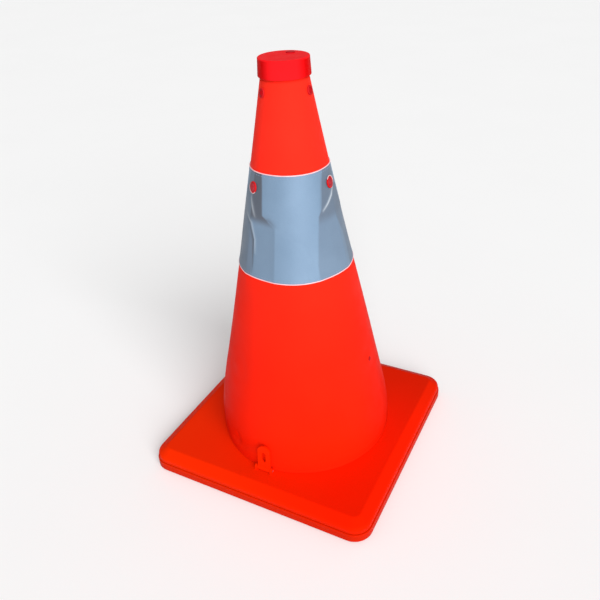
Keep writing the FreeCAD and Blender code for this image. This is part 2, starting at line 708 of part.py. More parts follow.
def lamp_nut(z):
    """The ring nut inside the sleeve; it stands off by the sleeve's curve at that height."""
    stand_off = SLEEVE_T + NUT_R ** 2 / (2 * sleeve_radius(z)) + NUT_AIR
    bore = along_x(LENS_STEM_R + TIGHT_FIT, -stand_off - NUT_T, -stand_off)
    return along_x(NUT_R, -stand_off - NUT_T, -stand_off).cut(bore)


def lamp_parts(level):
    z = LAMP_LEVELS[level]
    on_band = BAND_Z[0] < z < BAND_Z[1]
    lift = LAMP_LIFT + (BAND_GAP + BAND_T if on_band else 0.0)
    rows = {
        "lamp_lenses_" + level: (lamp_lens(LENS_R[level]), lift),
        "lamp_bezels_" + level: (lamp_bezel(BEZEL_R[level], LENS_R[level]), lift),
        "lamp_nuts_" + level: (lamp_nut(z), 0.0),
    }
    return {name: [placed_on_sleeve(shape, z, angle, raise_by) for angle in LAMP_ANGLES[level]]
            for name, (shape, raise_by) in rows.items()}


def grommet_places():
    return on_circle(GROMMET_PLACE_R, len(COLUMN_ANGLES))


def wire_grommets():
    grommets = []
    bore = LEAD_R + SLIDE_FIT
    for x, y in grommet_places():
        neck = tube(bore + GROMMET_NECK_T, bore, COVER_UNDERSIDE, COVER_TOP, x, y)
        brim = tube(bore + GROMMET_BRIM_T, bore, COVER_TOP, COVER_TOP + GROMMET_BRIM_H, x, y)
        grommets.append(neck.fuse(brim))
    return grommets


def rod_through(points, radius):
    """A round wire along straight runs, with a ball at each bend."""
    pieces = []
    for a, b in zip(points, points[1:]):
        pieces.append(Part.makeCylinder(radius, (b - a).Length, a, b - a))
    pieces += [Part.makeSphere(radius, p) for p in points[1:-1]]
    return fused(pieces)


def lamp_leads():
    """One lead up each lamp column, from the base to just under the upper lamp."""
    route = [Vector(GROMMET_PLACE_R, 0, COVER_UNDERSIDE - LAMP_LEAD_START_DROP)]
    route += [Vector(GROMMET_PLACE_R + outward, 0, z) for outward, z in LAMP_LEAD_KNEES]
    route.append(Vector(PLUG_SPIGOT_R + LAMP_LEAD_PLUG_AIR, 0, LAMP_LEVELS["upper"] - LAMP_LEAD_END_DROP))
    leads = []
    for angle in COLUMN_ANGLES:
        lead = rod_through(route, LEAD_R)
        lead.rotate(Vector(), Z_AXIS, angle)
        leads.append(lead)
    return leads


# ---------------------------------------------------------------- cap and push switch
def cap_shell():
    """A short tapered cup, closed at the top, with a round hole for the button."""
    profile = [
        Vector(CAP_RIM_R, 0, CAP_BOTTOM),
        Vector(CAP_TOP_R, 0, TOTAL_HEIGHT),
        Vector(0, 0, TOTAL_HEIGHT),
        Vector(0, 0, CAP_BOTTOM),
    ]
    outer = Part.Face(Part.makePolygon(profile + profile[:1])).revolve(Vector(), Z_AXIS, 360)
    for z, rounding in ((TOTAL_HEIGHT, CAP_EDGE_ROUND), (CAP_BOTTOM, CAP_RIM_ROUND)):
        outer = outer.makeFillet(rounding, [e for e in outer.Edges if level_edge(e, z)])
    inner_top = TOTAL_HEIGHT - CAP_WALL
    cuts = [
        cylinder(CAP_POCKET_R, CAP_BOTTOM - CUT, CAP_SHELF_Z),
        cylinder(CAP_BORE_R, SLEEVE_TOP_Z, inner_top),
        cylinder(BUTTON_R + FIT, inner_top - CUT, TOTAL_HEIGHT + CUT, 0, BUTTON_Y),
    ]
    return outer.cut(Part.makeCompound(cuts))


def cap_plug():
    """The stepped plug under the cap: it clamps the sleeve's neck, seats the spring's head and latches."""
    body = fused([
        cylinder(PLUG_RIM_R, CAP_SHELF_Z, PLUG_TOP),
        cylinder(PLUG_FLANGE_R, PLUG_FLANGE_Z, PLUG_TOP),
        cylinder(PLUG_SPIGOT_R, PLUG_BOTTOM, PLUG_TOP),
    ])
    body = body.makeChamfer(PLUG_LEAD_IN, [e for e in body.Edges if level_edge(e, PLUG_BOTTOM)])
    core_top = PLUG_POCKET_FLOOR - PLUG_CORE_ROOF
    cuts = [
        cylinder(PLUG_POCKET_R, PLUG_POCKET_FLOOR, PLUG_TOP),
        cylinder(WIRE_WAY_R, PLUG_BOTTOM - CUT, PLUG_TOP),
        tube(PLUG_SPIGOT_R + CUT, PLUG_SPIGOT_R - PLUG_GROOVE_DEPTH, *PLUG_GROOVE_Z),
        tube(PLUG_SPIGOT_R - PLUG_WALL, WIRE_WAY_R + PLUG_CORE_WALL, PLUG_BOTTOM, core_top),
    ]
    return body.cut(Part.makeCompound(cuts))


def switch_board():
    return cylinder(PLUG_POCKET_R - SWITCH_BOARD_AIR, PLUG_POCKET_FLOOR, PLUG_POCKET_FLOOR + SWITCH_BOARD_T)


def push_switch():
    z0 = PLUG_POCKET_FLOOR + SWITCH_BOARD_T
    body = centred_box(SWITCH_SIDE, SWITCH_SIDE, z0, z0 + SWITCH_H - PLUNGER_H, 0, SWITCH_Y)
    return body.fuse(cylinder(PLUNGER_R, z0, z0 + SWITCH_H, 0, SWITCH_Y))


def switch_button():
    """A round button, the flange that keeps it in the cap, and the stem that reaches the switch."""
    crown_z = TOTAL_HEIGHT + BUTTON_PROUD
    flange_top = TOTAL_HEIGHT - CAP_WALL - FIT
    stem_bottom = PLUG_POCKET_FLOOR + SWITCH_BOARD_T + SWITCH_H + BUTTON_TRAVEL + FIT
    button = fused([
        cylinder(BUTTON_R, flange_top - BUTTON_FLANGE_T, crown_z, 0, BUTTON_Y),
        cylinder(BUTTON_FLANGE_R, flange_top - BUTTON_FLANGE_T, flange_top, 0, BUTTON_Y),
        cylinder(BUTTON_STEM_R, stem_bottom, flange_top, 0, SWITCH_Y),
    ])
    return button.makeFillet(BUTTON_ROUND, [e for e in button.Edges if level_edge(e, crown_z)])


# ---------------------------------------------------------------- catch
def catch_collar():
    """The snap collar round the well: six springy fingers reach in to hold the folded cap's plug."""
    z0 = COVER_TOP
    collar = tube(COLLAR_R, COLLAR_FINGER_R, z0, z0 + COLLAR_H)
    outer_edge = [e for e in collar.Edges if level_edge(e, z0 + COLLAR_H)]
    collar = collar.makeFillet(COLLAR_EDGE_ROUND, outer_edge)
    cuts = [cylinder(SCREW_R + SCREW_CLEARANCE, z0, z0 + COLLAR_H, x, y) for x, y in collar_screw_places()]
    cuts += [cylinder(SCREW_HEAD_R + SCREW_CLEARANCE, z0 + COLLAR_H - SCREW_HEAD_H, z0 + COLLAR_H, x, y)
             for x, y in collar_screw_places()]
    for i in range(COLLAR_SLOTS):
        slot = Part.makeBox(COLLAR_SLOT_OUTER_R, COLLAR_SLOT_WIDTH, COLLAR_H,
                            Vector(0, -COLLAR_SLOT_WIDTH / 2, z0))
        slot.rotate(Vector(), Z_AXIS, 360.0 * i / COLLAR_SLOTS)
        cuts.append(slot)
    return collar.cut(fused(cuts))


def collar_screw_places():
    return on_circle(COLLAR_SCREW_R, COLLAR_SCREW_COUNT, COLLAR_SCREW_START_DEG)


def catch_screws():
    head_z = COVER_TOP + COLLAR_H - SCREW_HEAD_H
    return [screw(x, y, head_z, COLLAR_SCREW_TIP) for x, y in collar_screw_places()]


# ---------------------------------------------------------------- pull loop
def lug_spans():
    """The two lugs' spans along X, outside the loop."""
    inner = LOOP_WIDTH / 2 + LUG_GAP
    return [(LOOP_X - inner - LUG_T, LOOP_X - inner), (LOOP_X + inner, LOOP_X + inner + LUG_T)]


def loop_lugs():
    lugs = []
    for x0, x1 in lug_spans():
        eye = Part.makeCylinder(LUG_R, x1 - x0, Vector(x0, LOOP_Y, LOOP_Z), X_AXIS)
        foot = Part.makeBox(x1 - x0, 2 * LUG_R, LOOP_Z - COVER_TOP + LUG_ROOT,
                            Vector(x0, LOOP_Y - LUG_R, COVER_TOP - LUG_ROOT))
        bore = Part.makeCylinder(PIN_R + TIGHT_FIT, x1 - x0, Vector(x0, LOOP_Y, LOOP_Z), X_AXIS)
        lugs.append(eye.fuse(foot).cut(bore))
    return lugs


def pull_loop():
    """An arched plate with a slot, on a barrel that turns on the pin, leaning on the sleeve."""
    half = LOOP_WIDTH / 2
    arch_z = LOOP_REACH - half
    corners = [Vector(-half, 0, 0), Vector(half, 0, 0), Vector(half, 0, arch_z)]
    outline = Part.Wire([
        Part.makeLine(corners[0], corners[1]),
        Part.makeLine(corners[1], corners[2]),
        Part.Arc(corners[2], Vector(0, 0, LOOP_REACH), Vector(-half, 0, arch_z)).toShape(),
        Part.makeLine(Vector(-half, 0, arch_z), corners[0]),
    ])
    plate = Part.Face(outline).extrude(Vector(0, LOOP_T, 0))
    plate.translate(Vector(0, -LOOP_T / 2, 0))
    barrel = Part.makeCylinder(LOOP_BARREL_R, LOOP_WIDTH, Vector(-half, 0, 0), X_AXIS)
    low, high = LOOP_SLOT_SPAN
    slot_half = LOOP_SLOT_WIDTH / 2
    slot = fused([
        Part.makeBox(LOOP_SLOT_WIDTH, 2 * LOOP_T, high - low - LOOP_SLOT_WIDTH,
                     Vector(-slot_half, -LOOP_T, low + slot_half)),
        Part.makeCylinder(slot_half, 2 * LOOP_T, Vector(0, -LOOP_T, low + slot_half), Y_AXIS),
        Part.makeCylinder(slot_half, 2 * LOOP_T, Vector(0, -LOOP_T, high - slot_half), Y_AXIS),
    ])
    bore = Part.makeCylinder(PIN_R + SLIDE_FIT, LOOP_WIDTH, Vector(-half, 0, 0), X_AXIS)
    loop = fused([plate, barrel]).cut(slot)
    flat_edges = [e for e in loop.Edges if abs(abs(e.BoundBox.YMin) - LOOP_T / 2) < SAME
                  and abs(abs(e.BoundBox.YMax) - LOOP_T / 2) < SAME
                  and e.BoundBox.ZMin > LUG_R and e.BoundBox.YLength < SAME]
    loop = loop.makeFillet(LOOP_EDGE_ROUND, flat_edges)
    loop = loop.cut(bore)
    loop.rotate(Vector(), X_AXIS, -LOOP_LEAN_DEG)
    loop.translate(Vector(LOOP_X, LOOP_Y, LOOP_Z))
    return loop


def loop_pin():
    (x0, _), (_, x1) = lug_spans()
    return Part.makeCylinder(PIN_R, x1 - x0, Vector(x0, LOOP_Y, LOOP_Z), X_AXIS)


# ---------------------------------------------------------------- assembly
def all_nodes():
    nodes = {
        "base_cover": base_cover(),
        "base_tray": base_tray(),
        "rubber_feet": rubber_feet(),
        "base_screws": base_screws(),
        "battery_box": battery_box(),
        "battery_door": battery_door(),
        "battery_door_screw": battery_door_screw(),
        "battery_cells": battery_cells(),
        "battery_contacts": battery_contacts(),
        "battery_leads": battery_leads(),
        "flasher_board": flasher_board(),
        "board_screws": board_screws(),
        "board_components": board_components(),
        "hem_ring": hem_ring(),
        "hem_ring_screws": hem_ring_screws(),
        "catch_collar": catch_collar(),
        "catch_screws": catch_screws(),
        "wire_grommets": wire_grommets(),
        "loop_pin": loop_pin(),
        "pull_loop": pull_loop(),
        "fabric_sleeve": fabric_sleeve(),
        "reflective_band": reflective_band(),
        "cone_spring": cone_spring(),
        "spring_loops": spring_loops(),
        "lamp_leads": lamp_leads(),
        "cap_shell": cap_shell(),
        "cap_plug": cap_plug(),
        "switch_board": switch_board(),
        "push_switch": push_switch(),
        "switch_button": switch_button(),
    }
    for level in LAMP_LEVELS:
        nodes.update(lamp_parts(level))
    return nodes


def main():
    os.makedirs("parts", exist_ok=True)
    for name, shape in all_nodes().items():
        solids = shape if isinstance(shape, list) else [shape]
        for solid in solids:
            if not solid.isValid() or solid.Volume <= 0:
                raise ValueError(name + " has an invalid solid")
        whole = Part.makeCompound(solids) if len(solids) > 1 else solids[0]
        whole.exportStep("parts/" + name + ".step")
        print(name, len(whole.Solids), round(whole.Volume / 1000, 2), "cm3")


main()
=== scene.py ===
import json
import math

import bpy
import numpy as np
from mathutils import Matrix, Vector


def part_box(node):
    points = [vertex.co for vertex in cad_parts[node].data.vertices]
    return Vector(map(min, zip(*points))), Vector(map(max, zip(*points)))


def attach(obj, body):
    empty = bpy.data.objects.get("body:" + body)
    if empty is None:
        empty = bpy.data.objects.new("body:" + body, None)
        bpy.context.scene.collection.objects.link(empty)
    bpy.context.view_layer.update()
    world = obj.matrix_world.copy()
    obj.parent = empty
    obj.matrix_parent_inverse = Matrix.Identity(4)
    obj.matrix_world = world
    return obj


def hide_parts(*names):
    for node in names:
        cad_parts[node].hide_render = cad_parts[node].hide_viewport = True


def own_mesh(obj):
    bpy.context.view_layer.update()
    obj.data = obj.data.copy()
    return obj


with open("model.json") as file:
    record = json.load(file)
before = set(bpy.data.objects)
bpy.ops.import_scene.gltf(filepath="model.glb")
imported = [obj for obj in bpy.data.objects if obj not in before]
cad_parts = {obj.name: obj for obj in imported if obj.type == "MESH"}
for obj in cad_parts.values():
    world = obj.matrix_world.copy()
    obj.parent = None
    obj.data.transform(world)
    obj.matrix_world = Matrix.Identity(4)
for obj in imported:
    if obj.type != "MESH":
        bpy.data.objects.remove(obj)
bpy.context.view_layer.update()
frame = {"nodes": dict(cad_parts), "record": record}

MM = 0.001
NODES = frame["nodes"]

# ---------------------------------------------------------------- camera, in metres and degrees
CAMERA_AZIMUTH = 28.85
CAMERA_ELEVATION = 32.30
CAMERA_ROLL = -3.33
CAMERA_DISTANCE = 0.7258
CAMERA_AIM_SIDE = 0.0022  # the aim is this far to the camera's right of the cone's axis
CAMERA_AIM_HEIGHT = 0.1932
CAMERA_LENS = 38.14
SENSOR = 36.0

# ---------------------------------------------------------------- lights
WORLD_LIGHT = 0.40
KEY_AZIMUTH = 46.0
KEY_ELEVATION = 30.0
KEY_STRENGTH = 3.8
KEY_SPREAD = 50.0
FLOOR_SIZE = 12.0

# ---------------------------------------------------------------- cloth, in metres and degrees
SLEEVE_T = 0.8 * MM
BAND_T = 0.4 * MM
BAND_AIR = 0.15 * MM
BAND_STANDOFF = 0.48 * MM  # from the sleeve's face to the band's, in the frame
FOOT_TUCK = 6.6 * MM  # how far the foot is drawn in from the side line
TUCK_HEIGHT = 50.0 * MM
WEAVE_PITCH = 0.9 * MM
SEAM_DEG = 152.0
SEAM_HALF_WIDTH = 4.0 * MM
SEAM_RISE = 0.5 * MM
LIT_FRONT_DEG = -62.0  # the side facing the camera; the cloth and cap turned from it get painted shade
LEAN_DEG = 29.0  # the side to which the cloth hangs a little fuller
FOOT_AIR = 0.1 * MM  # between the cover and the cloth's cut edge
HEM_HEIGHT = 3.0 * MM  # the hem reaches to this height and its overlap, over the hem ring's screws
HEM_OVERLAP = 1.5 * MM
HEM_T = 0.3 * MM
HEM_AIR = 0.05 * MM
NECK_SPLIT = 8.0 * MM  # below the sleeve's top, where the part clamped in the cap begins
NECK_OVERLAP = 2.5 * MM  # that part starts this far inside the sleeve
STITCH_LENGTH = 2.4 * MM
STITCH_PITCH = 3.4 * MM
STITCH_R = 0.22 * MM
BAND_STITCH_INSET = 2.6 * MM
BAND_EDGE_R = 0.55 * MM
BAND_EDGE_SINK = 0.15 * MM  # how deep the edge's middle lies below the band's face

# ---------------------------------------------------------------- the other surfaces, in metres
PLASTIC_GRAIN = 0.25 * MM
RUBBER_GRAIN = 0.5 * MM
BEAD_PITCH = 0.5 * MM
LENS_RIB = 1.1 * MM
WEBBING_RIB = 1.0 * MM
THREAD_TWIST = 0.5 * MM
WAVE_PERIOD = 0.314  # of Blender's wave texture at scale 1

# ---------------------------------------------------------------- lamp columns, in degrees
RIGHT_LAMP, REAR_LAMP, LEFT_LAMP = 0.0, 120.0, 240.0
LAMP_COLUMNS = (RIGHT_LAMP, REAR_LAMP, LEFT_LAMP)


# ---------------------------------------------------------------- the sleeve's side line, from the frame
def radius_at(node, z, tolerance=0.4 * MM):
    """The largest radius of a CAD node's vertices at height z."""
    radii = [math.hypot(v.co.x, v.co.y) for v in NODES[node].data.vertices if abs(v.co.z - z) < tolerance]
    return max(radii)


SLEEVE_LOW, SLEEVE_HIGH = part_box("fabric_sleeve")
BAND_LOW, BAND_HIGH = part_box("reflective_band")
FOOT_Z = SLEEVE_LOW.z
TOP_Z = SLEEVE_HIGH.z
NECK_Z = TOP_Z - NECK_SPLIT


def side_parabola():
    """The side line as a parabola in z, through the untucked foot, the band's foot and the top."""
    heights = [FOOT_Z, BAND_LOW.z, TOP_Z]
    radii = [radius_at("fabric_sleeve", FOOT_Z) + FOOT_TUCK, BAND_HIGH.x - BAND_STANDOFF,
             radius_at("fabric_sleeve", TOP_Z)]
    return np.polyfit(heights, radii, 2)


SIDE = side_parabola()


def side_radius(z):
    """The sleeve's smooth outer radius: the parabola, drawn in towards the foot."""
    below_tuck_top = np.clip(1 - (z - FOOT_Z) / TUCK_HEIGHT, 0, None)
    return np.polyval(SIDE, z) - FOOT_TUCK * below_tuck_top ** 2


def lamp_height(level):
    low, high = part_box("lamp_lenses_" + level)
    return (low.z + high.z) / 2


LAMP_Z = {level: lamp_height(level) for level in ("upper", "middle", "lower")}


# ---------------------------------------------------------------- node helpers
class Shading:
    """A material under construction: short names for the nodes that the finishes share."""

    def __init__(self, name, **values):
        self.material = bpy.data.materials.new(name)
        self.material.use_nodes = True
        self.tree = self.material.node_tree
        self.bsdf = self.tree.nodes["Principled BSDF"]
        for socket, value in values.items():
            self.bsdf.inputs[socket.replace("_", " ")].default_value = value
        self.coordinates = self.tree.nodes.new("ShaderNodeTexCoord")

    def node(self, kind, inputs=None, **settings):
        made = self.tree.nodes.new("ShaderNode" + kind)
        for key, value in settings.items():
            setattr(made, key, value)
        for socket, value in (inputs or {}).items():
            self.feed(made.inputs[socket], value)
        return made

    def feed(self, socket, value):
        if isinstance(value, bpy.types.NodeSocket):
            self.tree.links.new(value, socket)
        else:
            socket.default_value = value

    def place(self):
        return self.coordinates.outputs["Object"]

    def cloth_place(self):
        return self.coordinates.outputs["UV"]

    def noise(self, scale, detail=3.0, roughness=0.55, distortion=0.0):
        inputs = {"Vector": self.place(), "Scale": scale, "Detail": detail,
                  "Roughness": roughness, "Distortion": distortion}
        return self.node("TexNoise", inputs).outputs["Fac"]

    def math(self, operation, a, b=0.0):
        return self.node("Math", {0: a, 1: b}, operation=operation).outputs[0]

    def ramp(self, factor, low, high, start=0.0, end=1.0):
        inputs = {"Value": factor, "From Min": low, "From Max": high, "To Min": start, "To Max": end}
        return self.node("MapRange", inputs).outputs["Result"]

    def attribute(self, name):
        return self.node("Attribute", attribute_name=name).outputs["Fac"]

    def mix(self, factor, first, second):
        mixer = self.node("Mix", data_type="RGBA")
        self.feed(mixer.inputs[0], factor)
        self.feed(mixer.inputs[6], first)
        self.feed(mixer.inputs[7], second)
        return mixer.outputs[2]

    def height(self):
        return self.node("SeparateXYZ", {"Vector": self.place()}).outputs["Z"]

    def towards(self, degrees):
        """The cosine of the angle, round the cone's axis, from a direction in degrees."""
        place = self.node("SeparateXYZ", {"Vector": self.place()}).outputs
        angle = math.radians(degrees)
        along = self.math("ADD", self.math("MULTIPLY", place["X"], math.cos(angle)),
                          self.math("MULTIPLY", place["Y"], math.sin(angle)))
        square = self.math("ADD", self.math("MULTIPLY", place["X"], place["X"]),
                           self.math("MULTIPLY", place["Y"], place["Y"]))
        return self.math("DIVIDE", along, self.math("SQRT", square))

    def bump(self, height, distance, strength=1.0, below=None):
        inputs = {"Height": height, "Distance": distance, "Strength": strength}
        if below:
            inputs["Normal"] = below
        return self.node("Bump", inputs).outputs["Normal"]

    def weave(self, pitch):
        """Warp and weft as two crossed waves over the flat cloth, 0 to 1."""
        scale = WAVE_PERIOD / pitch
        waves = [self.node("TexWave", {"Vector": self.cloth_place(), "Scale": scale, "Distortion": 0.0},
                           wave_type="BANDS", bands_direction=axis).outputs["Fac"] for axis in "XY"]
        return self.math("MULTIPLY", waves[0], waves[1])

    def grain(self, pitch=PLASTIC_GRAIN):
        """The fine spark-eroded grain of moulded plastic."""
        return self.bump(self.noise(1 / pitch, detail=2.0), 0.05 * MM, 0.35)

    def rubbed(self, low, high):
        """Roughness from low, where the surface is rubbed, to high."""
        return self.ramp(self.noise(90.0, detail=6.0, roughness=0.7), 0.25, 0.75, low, high)

    def finish(self, colour=None, roughness=None, normal=None):
        for socket, value in (("Base Color", colour), ("Roughness", roughness), ("Normal", normal)):
            if value is not None:
                self.feed(self.bsdf.inputs[socket], value)
        return self.material


def rgb(red, green, blue):
    return (red, green, blue, 1.0)


# ---------------------------------------------------------------- materials
def orange_fabric():
    """Fluorescent coated nylon: paler towards the top, with painted shade low on the sides turned from
    the front, and a red glow that is painted light.
    """
    # The red emission is painted light: a glow that lightens the cloth where it is in shade.
    s = Shading("orange_coated_fabric", Specular_IOR_Level=0.05, Specular_Tint=rgb(1.0, 0.30, 0.12),
                Emission_Color=rgb(1.0, 0.012, 0.002), Emission_Strength=0.07)
    high = s.ramp(s.height(), 0.06, 0.40)
    dark = s.mix(high, rgb(0.70, 0.0085, 0.0006), rgb(0.74, 0.0205, 0.0105))
    light = s.mix(high, rgb(0.78, 0.0120, 0.0010), rgb(0.82, 0.0255, 0.0135))
    drift = s.noise(9.0, detail=4.0)
    colour = s.mix(s.ramp(drift, 0.3, 0.7), dark, light)
    # Painted shade: low down, the sides turned from the front are painted a deeper red.
    turned_from_front = s.ramp(s.towards(LIT_FRONT_DEG), 0.85, 0.25)
    painted_side_shade = s.math("MULTIPLY", turned_from_front, s.ramp(s.height(), 0.30, 0.10))
    colour = s.mix(s.math("MULTIPLY", painted_side_shade, 0.75), colour, rgb(0.58, 0.0050, 0.0001))
    # Darker in patches towards the foot.
    darker_low_patches = s.math("MULTIPLY", s.noise(60.0, detail=6.0), s.ramp(s.height(), FOOT_Z + 0.05, FOOT_Z))
    colour = s.mix(s.math("MULTIPLY", darker_low_patches, 0.25), colour, rgb(0.46, 0.008, 0.001))
    weave = s.weave(WEAVE_PITCH)
    threads = s.mix(s.math("MULTIPLY", weave, 0.22), colour, rgb(0.88, 0.024, 0.007))
    roughness = s.ramp(s.noise(35.0), 0.3, 0.7, 0.52, 0.68)
    slack = s.bump(s.noise(26.0, detail=2.0), 0.9 * MM, 0.25)
    return s.finish(threads, roughness, s.bump(weave, 0.10 * MM, 0.35, slack))


def band_sheeting():
    """Silver-blue sheeting with fine beads, with a painted highlight on its sharp raised folds and
    painted shade in its hollows and on facets turned from the light.
    """
    s = Shading("silver_sheeting", Specular_IOR_Level=0.35, Metallic=0.15)
    drift = s.noise(22.0, detail=3.0, distortion=0.4)
    colour = s.mix(s.ramp(drift, 0.32, 0.68), rgb(0.166, 0.255, 0.368), rgb(0.194, 0.291, 0.412))
    beads = s.node("TexVoronoi", {"Vector": s.cloth_place(), "Scale": 1 / BEAD_PITCH}).outputs["Distance"]
    colour = s.mix(s.math("MULTIPLY", beads, 0.25), colour, rgb(0.12, 0.17, 0.25))
    # Painted shade in the hollows and on facets turned from the light, then a painted highlight along the
    # raised folds.
    colour = s.mix(s.math("MULTIPLY", s.attribute("painted_shade"), 0.88), colour, rgb(0.075, 0.072, 0.082))
    colour = s.mix(s.math("MULTIPLY", s.attribute("painted_highlight"), 0.75), colour, rgb(0.62, 0.68, 0.74))
    roughness = s.ramp(s.noise(48.0), 0.3, 0.7, 0.42, 0.56)
    slack = s.bump(s.noise(55.0, detail=2.0), 0.6 * MM, 0.3)
    return s.finish(colour, roughness, s.bump(beads, 0.05 * MM, 0.4, slack))


def moulded(name, dark, light, roughness, grain=PLASTIC_GRAIN, specular=0.22):
    """Injection-moulded plastic: a fine spark-eroded grain, faint flow marks, and rubbed patches."""
    s = Shading(name, Specular_IOR_Level=specular)
    flow = s.noise(14.0, detail=4.0, distortion=0.6)
    colour = s.mix(s.ramp(flow, 0.3, 0.7), rgb(*dark), rgb(*light))
    return s.finish(colour, s.rubbed(roughness - 0.07, roughness + 0.08), s.grain(grain))


def base_shell():
    """The base's orange plastic, painted lighter and more orange on one side, with painted shade at the
    back and low down, scuffed here and there.
    """
    s = Shading("orange_shell_plastic", Specular_IOR_Level=0.03, Specular_Tint=rgb(1.0, 0.25, 0.05))
    place = s.node("SeparateXYZ", {"Vector": s.place()})
    drift = s.math("MULTIPLY", s.noise(7.0, detail=4.0), 0.08)
    # Painted light: the -X side is painted more orange, the +X side a shaded red.
    painted_lit = s.ramp(s.math("ADD", place.outputs["X"], drift), 0.14, -0.10)
    colour = s.mix(painted_lit, rgb(0.78, 0.0105, 0.0004), rgb(0.76, 0.0225, 0.0008))
    # Painted shade towards the back.
    painted_back_shade = s.ramp(s.math("ADD", place.outputs["Y"], drift), 0.06, 0.17)
    colour = s.mix(s.math("MULTIPLY", painted_back_shade, 0.5), colour, rgb(0.50, 0.0120, 0.0002))
    scuffs = s.ramp(s.noise(70.0, detail=8.0, roughness=0.75, distortion=1.5), 0.60, 0.74)
    colour = s.mix(s.math("MULTIPLY", scuffs, 0.22), colour, rgb(0.58, 0.010, 0.001))
    # Painted shade low down, near the ground.
    height = s.math("ADD", place.outputs["Z"], s.math("MULTIPLY", drift, 0.05))
    painted_ground_shade = s.ramp(height, 0.022, 0.010)
    colour = s.mix(s.math("MULTIPLY", painted_ground_shade, 0.75), colour, rgb(0.42, 0.0130, 0.0010))
    return s.finish(colour, s.rubbed(0.38, 0.54), s.grain())


def cap_plastic():
    """The cap's red plastic, painted lighter on top and on the side facing the camera, with painted shade
    on its other sides.
    """
    s = Shading("red_cap_plastic", Specular_IOR_Level=0.02, Specular_Tint=rgb(1.0, 0.3, 0.3))
    cap_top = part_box("cap_shell")[1].z
    top = s.ramp(s.height(), cap_top - 1.6 * MM, cap_top - 0.6 * MM)
    side = s.ramp(s.towards(LIT_FRONT_DEG), 0.60, 0.88)
    flow = s.noise(14.0, detail=4.0, distortion=0.6)
    painted_lit = s.mix(s.ramp(flow, 0.3, 0.7), rgb(0.82, 0.009, 0.012), rgb(0.88, 0.012, 0.016))
    # Painted light on the top and front, painted shade in deep red elsewhere.
    colour = s.mix(s.math("MAXIMUM", top, side), rgb(0.56, 0.0005, 0.0010), painted_lit)
    return s.finish(colour, s.rubbed(0.35, 0.50), s.grain())


def metal(name, tone, roughness):
    s = Shading(name, Metallic=1.0)
    stain_and_painted_light = s.noise(160.0, detail=5.0)
    colour = s.mix(s.ramp(stain_and_painted_light, 0.35, 0.7), rgb(*tone), rgb(*(0.8 * c for c in tone)))
    return s.finish(colour, s.ramp(stain_and_painted_light, 0.2, 0.8, roughness, roughness + 0.18),
                    s.bump(s.noise(1400.0), 0.04 * MM, 0.3))


def lens():
    """Red tinted lenses; those on the pale sheeting are painted paler and duller, the others darker, as
    painted light and shade.
    """
    s = Shading("tinted_lens", Specular_IOR_Level=0.05, Specular_Tint=rgb(1.0, 0.5, 0.5))
    ribs = s.node("TexVoronoi", {"Vector": s.place(), "Scale": 1 / LENS_RIB}).outputs["Distance"]
    from_middle = s.math("ABSOLUTE", s.math("SUBTRACT", s.height(), LAMP_Z["middle"]))
    # Painted light and shade: the middle lenses take the paler colours, the others the darker.
    painted_band_light = s.ramp(from_middle, 0.05, 0.03)
    light = s.mix(painted_band_light, rgb(0.46, 0.006, 0.010), rgb(0.40, 0.036, 0.048))
    dark = s.mix(painted_band_light, rgb(0.34, 0.003, 0.006), rgb(0.28, 0.020, 0.028))
    colour = s.mix(s.ramp(ribs, 0.1, 0.7), light, dark)
    return s.finish(colour, s.ramp(s.noise(300.0), 0.3, 0.7, 0.34, 0.46), s.bump(ribs, 0.12 * MM, 0.4))


def webbing():
    s = Shading("red_webbing", Specular_IOR_Level=0.2, Sheen_Weight=0.1)
    ribs = s.node("TexWave", {"Vector": s.place(), "Scale": WAVE_PERIOD / WEBBING_RIB}).outputs["Fac"]
    colour = s.mix(ribs, rgb(0.55, 0.02, 0.006), rgb(0.80, 0.05, 0.015))
    return s.finish(colour, s.ramp(s.noise(80.0), 0.3, 0.7, 0.7, 0.9), s.bump(ribs, 0.15 * MM, 0.5))


def thread(name, dark, light):
    s = Shading(name, Specular_IOR_Level=0.3)
    inputs = {"Vector": s.place(), "Scale": WAVE_PERIOD / THREAD_TWIST, "Distortion": 2.0}
    twist = s.node("TexWave", inputs).outputs["Fac"]
    colour = s.mix(twist, rgb(*dark), rgb(*light))
    return s.finish(colour, s.ramp(s.noise(500.0), 0.3, 0.7, 0.5, 0.7), s.bump(twist, 0.06 * MM, 0.5))


def edge_tape():
    s = Shading("pale_edge_tape", Specular_IOR_Level=0.3)
    drift = s.noise(140.0, detail=4.0)
    colour = s.mix(s.ramp(drift, 0.3, 0.7), rgb(0.92, 0.60, 0.62), rgb(0.80, 0.42, 0.45))
    return s.finish(colour, s.ramp(drift, 0.2, 0.8, 0.35, 0.5), s.bump(s.noise(1200.0), 0.05 * MM, 0.3))


def circuit_board():
    s = Shading("circuit_board", Specular_IOR_Level=0.5)
    tracks = s.node("TexBrick", {"Vector": s.place(), "Scale": 160.0, "Color1": rgb(0.02, 0.16, 0.06),
                                 "Color2": rgb(0.03, 0.22, 0.09), "Mortar": rgb(0.05, 0.30, 0.13)})
    return s.finish(tracks.outputs["Color"], s.ramp(s.noise(200.0), 0.3, 0.7, 0.3, 0.45),
                    s.bump(tracks.outputs["Fac"], 0.05 * MM, 0.4))


def floor_finish():
    s = Shading("studio_floor", Specular_IOR_Level=0.1)
    drift = s.noise(3.0)
    colour = s.mix(drift, rgb(0.94, 0.94, 0.94), rgb(0.91, 0.91, 0.91))
    return s.finish(colour, s.ramp(drift, 0.0, 1.0, 0.7, 0.8))


